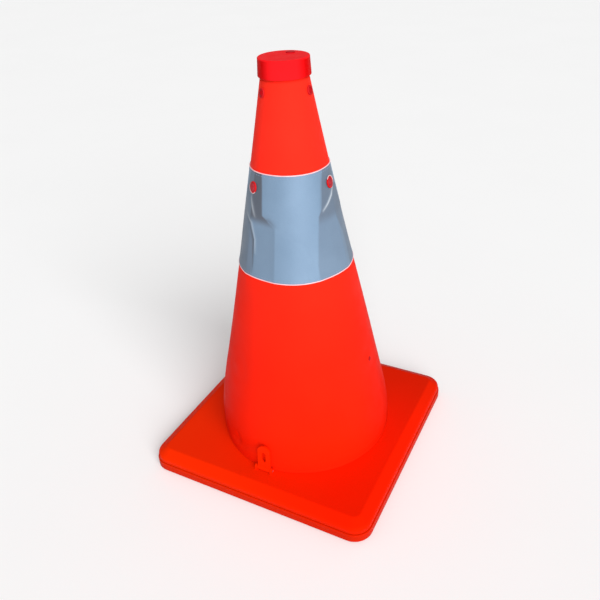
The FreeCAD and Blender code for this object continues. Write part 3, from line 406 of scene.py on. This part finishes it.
def finishes():
    """One material for each of the record's slots."""
    return {
        "orange_shell": base_shell(),
        "orange_fabric": orange_fabric(),
        "reflective_sheet": band_sheeting(),
        "red_cap": cap_plastic(),
        "red_moulding": moulded("red_moulded_plastic", (0.50, 0.007, 0.009), (0.58, 0.013, 0.016), 0.50,
                                specular=0.05),
        "red_button": moulded("red_button_plastic", (0.42, 0.001, 0.006), (0.52, 0.002, 0.010), 0.45,
                              specular=0.05),
        "red_lens": lens(),
        "spring_wire": metal("spring_wire_steel", (0.55, 0.56, 0.58), 0.30),
        "steel_fastener": metal("zinc_plated_steel", (0.60, 0.60, 0.62), 0.28),
        "nickel_contact": metal("nickel_plate", (0.75, 0.74, 0.70), 0.18),
        "black_plastic": moulded("black_plastic", (0.022, 0.022, 0.024), (0.032, 0.032, 0.034), 0.45),
        "black_rubber": moulded("black_rubber", (0.016, 0.016, 0.016), (0.024, 0.024, 0.024), 0.75,
                                RUBBER_GRAIN),
        "cell_jacket": moulded("cell_jacket", (0.06, 0.07, 0.09), (0.09, 0.10, 0.12), 0.30),
        "circuit_board": circuit_board(),
        "lead_insulation": moulded("lead_insulation", (0.03, 0.03, 0.03), (0.05, 0.05, 0.05), 0.55),
        "webbing": webbing(),
    }


# ---------------------------------------------------------------- the cloth's shape
def bell(x, width):
    return np.exp(-((x / width) ** 2))


def smooth_step(x, start, end):
    t = np.clip((x - start) / (end - start), 0.0, 1.0)
    return t * t * (3 - 2 * t)


def turn_between(theta, reference):
    """The signed angle from reference to theta, -180 to 180."""
    return (theta - reference + 180.0) % 360.0 - 180.0


def distance_to_line(theta, z, points):
    """Signed distance on the cloth from a line of (degrees, metres) points, and how far along it is."""
    best = np.full(np.shape(theta), np.inf)
    signed = np.zeros(np.shape(theta))
    along = np.zeros(np.shape(theta))
    count = len(points) - 1
    for i, ((a0, z0), (a1, z1)) in enumerate(zip(points, points[1:])):
        scale = np.radians(1.0) * side_radius((z0 + z1) / 2)
        du, dv = (a1 - a0) * scale, z1 - z0
        pu, pv = turn_between(theta, a0) * scale, z - z0
        t = np.clip((pu * du + pv * dv) / (du * du + dv * dv), 0.0, 1.0)
        away = np.hypot(pu - t * du, pv - t * dv)
        nearer = away < best
        best = np.where(nearer, away, best)
        signed = np.where(nearer, np.sign(du * pv - dv * pu) * away, signed)
        along = np.where(nearer, (i + t) / count, along)
    return signed, along


class Crease:
    """A sharp fold near a lamp on the band, as (degrees, millimetres) from the lamp.

    It is hollow if height is negative. left and right are how far, in millimetres, it reaches to each
    side of its line, as seen going up it.
    """

    # The last argument is the strength of the painted highlight on a raised fold and of the painted shade
    # in a hollow one.
    def __init__(self, lamp, points, height, left, right, stain_and_painted_light=1.0):
        self.points = [(lamp + angle, LAMP_Z["middle"] + rise * MM) for angle, rise in points]
        self.height, self.left, self.right, self.stain_and_painted_light = height * MM, left * MM, right * MM, stain_and_painted_light

    def strength(self, theta, z, width_scale=1.0):
        signed, along = distance_to_line(theta, z, self.points)
        width = np.where(signed > 0, self.left, self.right) * width_scale
        fade = np.sin(np.pi * np.clip(0.06 + 0.88 * along, 0, 1)) ** 0.5
        return np.exp(-(np.abs(signed) / width) ** 1.3) * fade


CREASES = [
    Crease(LEFT_LAMP, [(8, -88), (7, -70), (6, -53), (-1, -37), (-13, -31)], -1.1, 5.0, 1.3, 0.9),
    Crease(LEFT_LAMP, [(10, -66), (9, -52), (2, -35), (-10, -28)], 0.5, 0.9, 1.4, 0.5),
    Crease(LEFT_LAMP, [(7, -28), (2, -19), (-3, -10)], 0.5, 1.2, 1.6, 0.65),
    Crease(LEFT_LAMP, [(36, -34), (28, -29), (19, -28)], -0.7, 2.0, 3.0, 0.5),
    Crease(RIGHT_LAMP, [(-22, -23), (-12, -18), (-2, -12), (8, -3)], 0.7, 1.1, 1.3, 1.0),
    Crease(RIGHT_LAMP, [(-25, -21), (-19, -3), (-12, 14)], -0.5, 1.5, 2.5, 0.35),
    Crease(REAR_LAMP, [(26, -46), (17, -26), (5, -12)], 0.6, 1.4, 1.2, 0.6),
    Crease(REAR_LAMP, [(-1, -78), (-9, -48), (-13, -20)], -0.8, 4.0, 1.5, 0.6),
]

# the lines round a middle lamp, as (millimetres above the lamp, degrees from its column)
PLEAT = [(-90, 6), (-70, 7), (-53, 6), (-37, -1), (0, 0)]
FACET_EDGES = {1: [(-80, 36.6), (-36, 37.0), (-25, 19.6), (-9, 18.0), (12, 16.0)],
               -1: [(-76, 38.4), (-49, 34.5), (-27, 30.0), (-21, 25.0), (-3, 19.0), (14, 12.0)]}


def line_at(line, z):
    """The angle of a line round a middle lamp at height z."""
    heights, degrees = zip(*line)
    return np.interp(z, LAMP_Z["middle"] + MM * np.array(heights), degrees)


class Facet:
    """Cloth drawn flat to one side of a lamp's column: side is 1 counter-clockwise, -1 clockwise."""

    def __init__(self, lamp, side, flatness, soil_low, painted_shade_high):
        self.lamp, self.side, self.flatness = lamp, side, flatness
        self.soil_low, self.painted_shade_high = soil_low, painted_shade_high

    def sag(self, theta, z):
        """How far the facet lies inside the round cloth, as a negative length."""
        reach = line_at(FACET_EDGES[self.side], z)
        turn = np.clip(self.side * turn_between(theta, self.lamp), 0, reach)
        chord = np.cos(np.radians(reach / 2)) / np.cos(np.radians(turn - reach / 2))
        return self.flatness * side_radius(z) * (chord - 1)

    # Painted shade on the facet, darkest on the facets turned from the light.
    def painted_shade_at(self, theta, z):
        turn = turn_between(theta, self.lamp)
        past_pleat = smooth_step(self.side * (turn - line_at(PLEAT, z)), -0.8, 0.8)
        inside = smooth_step(line_at(FACET_EDGES[self.side], z) - self.side * turn, -1.2, 1.6)
        lamp_z = LAMP_Z["middle"]
        high = smooth_step(z, lamp_z - 38 * MM, lamp_z - 27 * MM)
        return past_pleat * inside * (self.soil_low + (self.painted_shade_high - self.soil_low) * high)


FACETS = [
    Facet(LEFT_LAMP, 1, 0.80, 0.14, 0.90),
    Facet(LEFT_LAMP, -1, 0.20, 0.55, 0.55),
    Facet(RIGHT_LAMP, 1, 0.20, 0.50, 0.60),
    Facet(RIGHT_LAMP, -1, 0.65, 0.26, 0.58),
    Facet(REAR_LAMP, 1, 0.45, 0.30, 0.50),
    Facet(REAR_LAMP, -1, 0.45, 0.30, 0.50),
]


def near_band(z):
    """1 on the band's middle, fading out across its edges."""
    return smooth_step(z, BAND_LOW.z - 22 * MM, BAND_LOW.z + 18 * MM) * smooth_step(
        z, BAND_HIGH.z + 10 * MM, BAND_HIGH.z - 12 * MM)


def band_folds(theta, z):
    """How far the cloth stands in or out on and near the band, in metres."""
    folds = sum(facet.sag(theta, z) for facet in FACETS)
    for fold in CREASES:
        folds = folds + fold.height * fold.strength(theta, z)
    return folds * near_band(z)


# level, depth and reach in millimetres
LAMP_PULLS = (("upper", 0.25, 7.0), ("middle", 0.35, 9.0), ("lower", 0.6, 12.0))


def lamp_pull(theta, z):
    """Each lamp's nut draws the cloth in a little round it."""
    pull = np.zeros(np.shape(theta))
    for level, depth, reach in LAMP_PULLS:
        height = LAMP_Z[level]
        for lamp in LAMP_COLUMNS:
            u = np.radians(turn_between(theta, lamp)) * side_radius(height)
            ring = np.hypot(u, z - height) / (reach * MM)
            pull -= depth * MM * np.exp(-((ring - 1.0) / 0.55) ** 2)
    return pull


# the foot beside the pull loop, in metres and degrees
DRAWN_SIDE_DEG = -137.0
DRAWN_SPREAD_DEG = 28.0
DRAWN_DEPTH = 4.2 * MM
FOOT_FOLD = [(-118.0, FOOT_Z + 14 * MM), (-108.0, FOOT_Z + 15 * MM), (-94.0, FOOT_Z + 26 * MM)]
FOOT_FOLD_DEPTH = 2.4 * MM
FOOT_FOLD_ABOVE = 9 * MM
FOOT_FOLD_BELOW = 4 * MM
DIMPLE_DEG = -114.0
DIMPLE_SPREAD_DEG = 2.4
DIMPLE_Z = FOOT_Z + 21 * MM
DIMPLE_DEPTH = 2.6 * MM
DIMPLE_HALF_HEIGHT = 6.5 * MM


def foot_folds(theta, z):
    """Where the cloth is drawn in at the foot, beside the pull loop, with a dimple and a fold."""
    low_down = smooth_step(z, FOOT_Z + 95 * MM, FOOT_Z + 5 * MM)
    drawn = -DRAWN_DEPTH * bell(turn_between(theta, DRAWN_SIDE_DEG), DRAWN_SPREAD_DEG) * low_down
    away, _ = distance_to_line(theta, z, FOOT_FOLD)
    fold = -FOOT_FOLD_DEPTH * bell(away, np.where(away > 0, FOOT_FOLD_ABOVE, FOOT_FOLD_BELOW))
    across_dimple = bell(turn_between(theta, DIMPLE_DEG), DIMPLE_SPREAD_DEG)
    dimple = -DIMPLE_DEPTH * across_dimple * bell(z - DIMPLE_Z, DIMPLE_HALF_HEIGHT)
    lift = smooth_step(z, FOOT_Z + 4 * MM, FOOT_Z + 12 * MM)
    return drawn + lift * (fold + dimple)


def slackness(theta, z):
    """Long soft undulations of hand-sewn cloth, the same at every run."""
    angle = np.radians(theta)
    share = (z - FOOT_Z) / (TOP_Z - FOOT_Z)
    waves = 0.45 * np.sin(3 * angle + 0.8 + 2.2 * share) + 0.30 * np.sin(5 * angle + 2.1 - 3.1 * share)
    waves = waves + 0.22 * np.sin(8 * angle + 7.0 * share) * np.sin(math.pi * share)
    waves = waves + 1.5 * np.cos(np.radians(turn_between(theta, LEAN_DEG))) * bell(share - 0.30, 0.28)
    return MM * waves * np.sin(math.pi * np.clip(share, 0, 1)) ** 0.7


def seam_rise(theta, z):
    u = np.abs(np.radians(turn_between(theta, SEAM_DEG))) * side_radius(z)
    return SEAM_RISE * smooth_step(u, SEAM_HALF_WIDTH + 0.6 * MM, SEAM_HALF_WIDTH - 0.2 * MM)


def cloth_radius(theta, z):
    """Outer radius of the sleeve at an angle in degrees and a height."""
    lying = slackness(theta, z) + lamp_pull(theta, z) + foot_folds(theta, z) + seam_rise(theta, z)
    return side_radius(z) + lying + band_folds(theta, z)


# ---------------------------------------------------------------- mesh helpers
def new_object(name, vertices, faces, material):
    mesh = bpy.data.meshes.new(name)
    mesh.from_pydata([tuple(v) for v in vertices], [], faces)
    mesh.validate()
    mesh.shade_smooth()
    mesh.materials.append(material)
    made = bpy.data.objects.new(name, mesh)
    bpy.context.scene.collection.objects.link(made)
    return made


def ring_faces(low, high, sides):
    """The quads between two rings of vertices, whose first vertices are low and high."""
    return [(low + k, low + (k + 1) % sides, high + (k + 1) % sides, high + k) for k in range(sides)]


def apply_modifiers(obj):
    """Bakes an object's modifiers into its own mesh."""
    graph = bpy.context.evaluated_depsgraph_get()
    evaluated = obj.evaluated_get(graph)
    mesh = bpy.data.meshes.new_from_object(evaluated, preserve_all_data_layers=True, depsgraph=graph)
    obj.modifiers.clear()
    obj.data = mesh
    return obj


def flat_pattern(theta, z):
    """Where a point of the cone's side lies on its flat pattern, an annular sector, in metres."""
    lean = math.atan((np.polyval(SIDE, FOOT_Z) - np.polyval(SIDE, TOP_Z)) / (TOP_Z - FOOT_Z))
    slant = np.polyval(SIDE, z) / math.sin(lean)
    turn = math.radians(turn_between(theta, SEAM_DEG + 180.0)) * math.sin(lean)
    return slant * math.sin(turn), -slant * math.cos(turn)


def cloth_tube(name, heights, thetas, radius_of, material):
    """A closed ring of cloth, laid out as a grid of heights by angles, with its flat pattern as UV."""
    grid_theta, grid_z = np.meshgrid(thetas, heights)
    radii = radius_of(grid_theta, grid_z)
    angle = np.radians(grid_theta)
    points = np.stack([radii * np.cos(angle), radii * np.sin(angle), grid_z], axis=-1).reshape(-1, 3)
    across, up = len(thetas), len(heights)
    faces = []
    for row in range(up - 1):
        faces += ring_faces(row * across, (row + 1) * across, across)
    made = new_object(name, points, faces, material)
    lay_pattern(made, thetas, heights)
    return made


def lay_pattern(obj, thetas, heights):
    layer = obj.data.uv_layers.new(name="pattern")
    across = len(thetas)
    step = 360.0 / across
    for polygon in obj.data.polygons:
        start = thetas[polygon.vertices[0] % across]
        for corner, vertex in zip(polygon.loop_indices, polygon.vertices):
            theta = start if vertex % across == polygon.vertices[0] % across else start + step
            layer.data[corner].uv = flat_pattern(theta, heights[vertex // across])


def solidify(obj, thickness):
    """Gives cloth its thickness, inward from the face that shows."""
    modifier = obj.modifiers.new("cloth_thickness", "SOLIDIFY")
    modifier.thickness = thickness
    modifier.offset = -1.0
    modifier.use_even_offset = True
    return apply_modifiers(obj)


def pinned(obj, body, slot, *replaced):
    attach(obj, body)
    if replaced:
        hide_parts(*replaced)
    return obj


def folding(obj):
    """Gives a piece its own copy of its mesh."""
    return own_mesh(obj)


# ---------------------------------------------------------------- sleeve
SLEEVE_ROWS, SLEEVE_COLUMNS = 150, 264
HEM_ROWS = 6
NECK_ROWS, NECK_COLUMNS = 12, 96
BAND_ROWS, BAND_COLUMNS = 120, 400


def evenly(start, end, count):
    return [start + (end - start) * i / (count - 1) for i in range(count)]


def around(count):
    return [360.0 * i / count for i in range(count)]


def sleeve(material):
    heights = evenly(FOOT_Z + FOOT_AIR, NECK_Z, SLEEVE_ROWS)
    made = cloth_tube("sleeve", heights, around(SLEEVE_COLUMNS), cloth_radius, material)
    solidify(made, SLEEVE_T)
    pinned(made, "base", "orange_fabric", "fabric_sleeve")
    folding(made)
    return made


def hem_radius(theta, z):
    return cloth_radius(theta, z) + HEM_T + HEM_AIR


def hem(material):
    """The doubled hem round the sleeve's foot, pinned upright on the base."""
    heights = evenly(FOOT_Z + FOOT_AIR, FOOT_Z + HEM_HEIGHT + HEM_OVERLAP, HEM_ROWS)
    made = cloth_tube("sleeve_hem", heights, around(SLEEVE_COLUMNS), hem_radius, material)
    solidify(made, HEM_T)
    return pinned(made, "base", "orange_fabric")


def neck_radius(theta, z):
    return side_radius(z) - SLEEVE_T / 2 + 0 * theta


def neck(material):
    """The last of the sleeve, clamped between the cap and its plug."""
    start_z = NECK_Z - NECK_OVERLAP
    heights = evenly(start_z, TOP_Z, NECK_ROWS)
    made = cloth_tube("sleeve_neck", heights, around(NECK_COLUMNS), neck_radius, material)
    solidify(made, SLEEVE_T / 2)
    pinned(made, "cap", "orange_fabric")
    return made


# ---------------------------------------------------------------- band
def band_radius(theta, z):
    return cloth_radius(theta, z) + BAND_AIR + BAND_T


def mark_folds(obj):
    """Stores on each vertex how much painted highlight and painted shade the sheeting gets there, for its
    material.
    """
    places = np.array([v.co for v in obj.data.vertices])
    theta, z = np.degrees(np.arctan2(places[:, 1], places[:, 0])), places[:, 2]
    painted_shades = sum(facet.painted_shade_at(theta, z) for facet in FACETS)
    marks = {"painted_highlight": np.zeros(len(places)), "painted_shade": np.clip(painted_shades, 0, 1)}
    for fold in CREASES:
        kind = "painted_highlight" if fold.height > 0 else "painted_shade"
        marks[kind] = np.maximum(marks[kind], fold.stain_and_painted_light * fold.strength(theta, z, 0.8))
    for kind, amounts in marks.items():
        layer = obj.data.attributes.new(kind, "FLOAT", "POINT")
        layer.data.foreach_set("value", amounts.astype(np.float32))


def band(material):
    heights = evenly(BAND_LOW.z, BAND_HIGH.z, BAND_ROWS)
    made = cloth_tube("band", heights, around(BAND_COLUMNS), band_radius, material)
    mark_folds(made)
    solidify(made, BAND_T)
    pinned(made, "base", "reflective_sheet", "reflective_band")
    folding(made)
    return made


def ring_tube(name, z, lift, radius, material, columns=300, sides=8):
    """A thin round bead that follows the band's face at one height."""
    thetas = np.array(around(columns))
    radii = band_radius(thetas, np.full(columns, z)) + lift
    vertices, faces = [], []
    for theta, r in zip(thetas, radii):
        angle = math.radians(theta)
        for k in range(sides):
            turn = 2 * math.pi * k / sides
            out = r + radius * math.cos(turn)
            vertices.append((out * math.cos(angle), out * math.sin(angle), z + radius * math.sin(turn)))
    for i in range(columns):
        faces += ring_faces(((i + 1) % columns) * sides, i * sides, sides)
    return new_object(name, vertices, faces, material)


def band_edges(material):
    """The pale cut edges of the sheeting, at its foot and head."""
    for name, z in (("band_edge_low", BAND_LOW.z), ("band_edge_high", BAND_HIGH.z)):
        edge = ring_tube(name, z, -BAND_EDGE_SINK, BAND_EDGE_R, material)
        pinned(edge, "base", "reflective_sheet")
        folding(edge)


# ---------------------------------------------------------------- stitching
def stitch_mesh(starts, ends, outs):
    """Short rounded stitches from starts to ends, each bulging a little along its outward direction."""
    rings, sides = 5, 6
    vertices, faces = [], []
    for start, end, out in zip(starts, ends, outs):
        along = (end - start).normalized()
        across = along.cross(out).normalized()
        first = len(vertices)
        for i in range(rings):
            share = i / (rings - 1)
            belly = math.sin(math.pi * share)
            centre = start.lerp(end, share) + out * STITCH_R * (belly - 0.4)
            radius = STITCH_R * (0.35 + 0.65 * belly)
            for k in range(sides):
                turn = 2 * math.pi * k / sides
                vertices.append(centre + (across * math.cos(turn) + out * math.sin(turn)) * radius)
        for i in range(rings - 1):
            faces += ring_faces(first + i * sides, first + (i + 1) * sides, sides)
        last = first + (rings - 1) * sides
        faces.append(tuple(first + k for k in reversed(range(sides))))
        faces.append(tuple(last + k for k in range(sides)))
    return vertices, faces


def point_on(radius_of, theta, z):
    radius = float(radius_of(np.array(theta), np.array(z)))
    angle = math.radians(theta)
    return Vector((radius * math.cos(angle), radius * math.sin(angle), z))


def outward(theta):
    angle = math.radians(theta)
    return Vector((math.cos(angle), math.sin(angle), 0.2)).normalized()


def band_stitches(material):
    """A row of stitches round the band, inside each edge."""
    starts, ends, outs = [], [], []
    for z in (BAND_LOW.z + BAND_STITCH_INSET, BAND_HIGH.z - BAND_STITCH_INSET):
        count = round(2 * math.pi * side_radius(z) / STITCH_PITCH)
        share = STITCH_LENGTH / STITCH_PITCH
        for i in range(count):
            theta = 360.0 * i / count
            starts.append(point_on(band_radius, theta, z))
            ends.append(point_on(band_radius, theta + share * 360.0 / count, z))
            outs.append(outward(theta))
    made = new_object("band_stitches", *stitch_mesh(starts, ends, outs), material)
    pinned(made, "base", "reflective_sheet")
    return folding(made)


def seam_stitches(material):
    """Two rows of stitches up the sleeve's seam, left out under the band."""
    starts, ends, outs = [], [], []
    rows = int((NECK_Z - NECK_OVERLAP - FOOT_Z) / STITCH_PITCH)
    for side in (-1, 1):
        for i in range(1, rows):
            z = FOOT_Z + i * STITCH_PITCH
            if BAND_LOW.z - STITCH_LENGTH < z < BAND_HIGH.z:
                continue
            theta = SEAM_DEG + side * math.degrees(0.6 * SEAM_HALF_WIDTH / side_radius(z))
            starts.append(point_on(cloth_radius, theta, z))
            ends.append(point_on(cloth_radius, theta, z + STITCH_LENGTH))
            outs.append(outward(theta))
    made = new_object("seam_stitches", *stitch_mesh(starts, ends, outs), material)
    pinned(made, "base", "orange_fabric")
    return folding(made)


# ---------------------------------------------------------------- the gaskets of the middle lamps, pale as a painted highlight
GASKET_R = 5.55 * MM
GASKET_T = 0.45 * MM  # the radius of its cord
GASKET_SLIP = 1.1 * MM
GASKET_SLIPS = ((RIGHT_LAMP, 35.0), (REAR_LAMP, 90.0), (LEFT_LAMP, 235.0))


def gasket_points(lamp, slip_deg, segments, sides):
    """The vertices of one lamp's ring, slipped towards slip_deg: 0 is to its right, 90 is upwards."""
    z = LAMP_Z["middle"]
    lean = math.atan((side_radius(z - 5 * MM) - side_radius(z + 5 * MM)) / (10 * MM))
    out = Vector((math.cos(lean), 0, math.sin(lean)))
    up = Vector((-math.sin(lean), 0, math.cos(lean)))
    right = Vector((0, 1, 0))
    slip = math.radians(slip_deg)
    centre = Vector((side_radius(z), 0, z)) + out * (BAND_AIR + BAND_T + GASKET_T)
    centre += (right * math.cos(slip) + up * math.sin(slip)) * GASKET_SLIP
    turn = Matrix.Rotation(math.radians(lamp), 3, "Z")
    points = []
    for i in range(segments):
        a = 2 * math.pi * i / segments
        spoke = right * math.cos(a) + up * math.sin(a)
        for k in range(sides):
            b = 2 * math.pi * k / sides
            cord = spoke * math.cos(b) + out * math.sin(b)
            points.append(turn @ (centre + spoke * GASKET_R + cord * GASKET_T))
    return points


def gaskets(material, segments=40, sides=8):
    """A soft ring under each middle lamp's bezel, slipped to one side so that a crescent of it shows,
    pale as a painted highlight on the lamp's rim.
    """
    vertices, faces = [], []
    for lamp, slip_deg in GASKET_SLIPS:
        first = len(vertices)
        vertices += gasket_points(lamp, slip_deg, segments, sides)
        for i in range(segments):
            faces += ring_faces(first + ((i + 1) % segments) * sides, first + i * sides, sides)
    made = new_object("lamp_gaskets_middle", vertices, faces, material)
    return pinned(made, "lamps_middle", "red_lens")


# ---------------------------------------------------------------- pieces inside, copied from CAD nodes
def folding_copy(node, name, material):
    """The same shape as a CAD node, as a piece of its own."""
    made = bpy.data.objects.new(name, NODES[node].data.copy())
    bpy.context.scene.collection.objects.link(made)
    made.data.materials.clear()
    made.data.materials.append(material)
    return made


def folding_insides(finish):
    for node, name, slot in (("cone_spring", "conical_spring", "spring_wire"),
                             ("spring_loops", "webbing_loops", "webbing"),
                             ("lamp_leads", "lamp_column_leads", "lead_insulation")):
        made = folding_copy(node, name, finish[slot])
        pinned(made, "base", slot, node)
        folding(made)


# ---------------------------------------------------------------- CAD nodes that show as they are
def dress_nodes(finish):
    slots = {row["node"]: row["material_slot"] for row in frame["record"]["subparts"]}
    for name, obj in NODES.items():
        for material_slot in obj.material_slots:
            material_slot.material = finish[slots[name]]


# ---------------------------------------------------------------- studio
def studio_floor():
    bpy.ops.mesh.primitive_plane_add(size=FLOOR_SIZE, location=(0, 0, 0))
    floor = bpy.context.object
    floor.name = "studio_floor"
    floor.data.materials.append(floor_finish())


def sun(name, azimuth, elevation, strength, spread_deg):
    """A broad distant light; azimuth 0 shines from -Y, 90 from +X."""
    a, e = math.radians(azimuth), math.radians(elevation)
    towards = Vector((math.sin(a) * math.cos(e), -math.cos(a) * math.cos(e), math.sin(e)))
    data = bpy.data.lights.new(name, "SUN")
    data.energy = strength
    data.angle = math.radians(spread_deg)
    lamp = bpy.data.objects.new(name, data)
    lamp.rotation_euler = (-towards).to_track_quat("-Z", "Y").to_euler()
    bpy.context.scene.collection.objects.link(lamp)


def studio():
    world = bpy.data.worlds.new("studio")
    world.use_nodes = True
    background = world.node_tree.nodes["Background"]
    background.inputs["Color"].default_value = rgb(1.0, 1.0, 1.0)
    background.inputs["Strength"].default_value = WORLD_LIGHT
    bpy.context.scene.world = world
    bpy.context.scene.view_settings.view_transform = "Standard"
    studio_floor()
    sun("key_light", KEY_AZIMUTH, KEY_ELEVATION, KEY_STRENGTH, KEY_SPREAD)


def camera():
    a, e = math.radians(CAMERA_AZIMUTH), math.radians(CAMERA_ELEVATION)
    back = Vector((math.sin(a) * math.cos(e), -math.cos(a) * math.cos(e), math.sin(e)))
    right = (-back).cross(Vector((0, 0, 1))).normalized()
    up = right.cross(-back)
    roll = math.radians(CAMERA_ROLL)
    rolled_right = right * math.cos(roll) + up * math.sin(roll)
    rolled_up = up * math.cos(roll) - right * math.sin(roll)
    data = bpy.data.cameras.new("camera")
    data.sensor_width = SENSOR
    data.lens = CAMERA_LENS
    data.dof.use_dof = False
    made = bpy.data.objects.new("camera", data)
    turn = Matrix((rolled_right, rolled_up, back)).transposed().to_4x4()
    place = Vector((0, 0, CAMERA_AIM_HEIGHT)) + right * CAMERA_AIM_SIDE + back * CAMERA_DISTANCE
    made.matrix_world = Matrix.Translation(place) @ turn
    bpy.context.scene.collection.objects.link(made)
    bpy.context.scene.camera = made


def main():
    camera()
    studio()
    finish = finishes()
    dress_nodes(finish)
    sleeve(finish["orange_fabric"])
    hem(finish["orange_fabric"])
    neck(finish["orange_fabric"])
    band(finish["reflective_sheet"])
    band_edges(edge_tape())
    band_stitches(thread("silver_thread", (0.16, 0.24, 0.36), (0.26, 0.36, 0.50)))
    seam_stitches(thread("orange_thread", (0.62, 0.020, 0.006), (0.80, 0.045, 0.016)))
    # The gaskets' pale colour is a painted highlight round the middle lamps.
    gaskets(moulded("pale_gasket_highlight", (0.62, 0.44, 0.46), (0.72, 0.56, 0.58), 0.35))
    folding_insides(finish)


main()
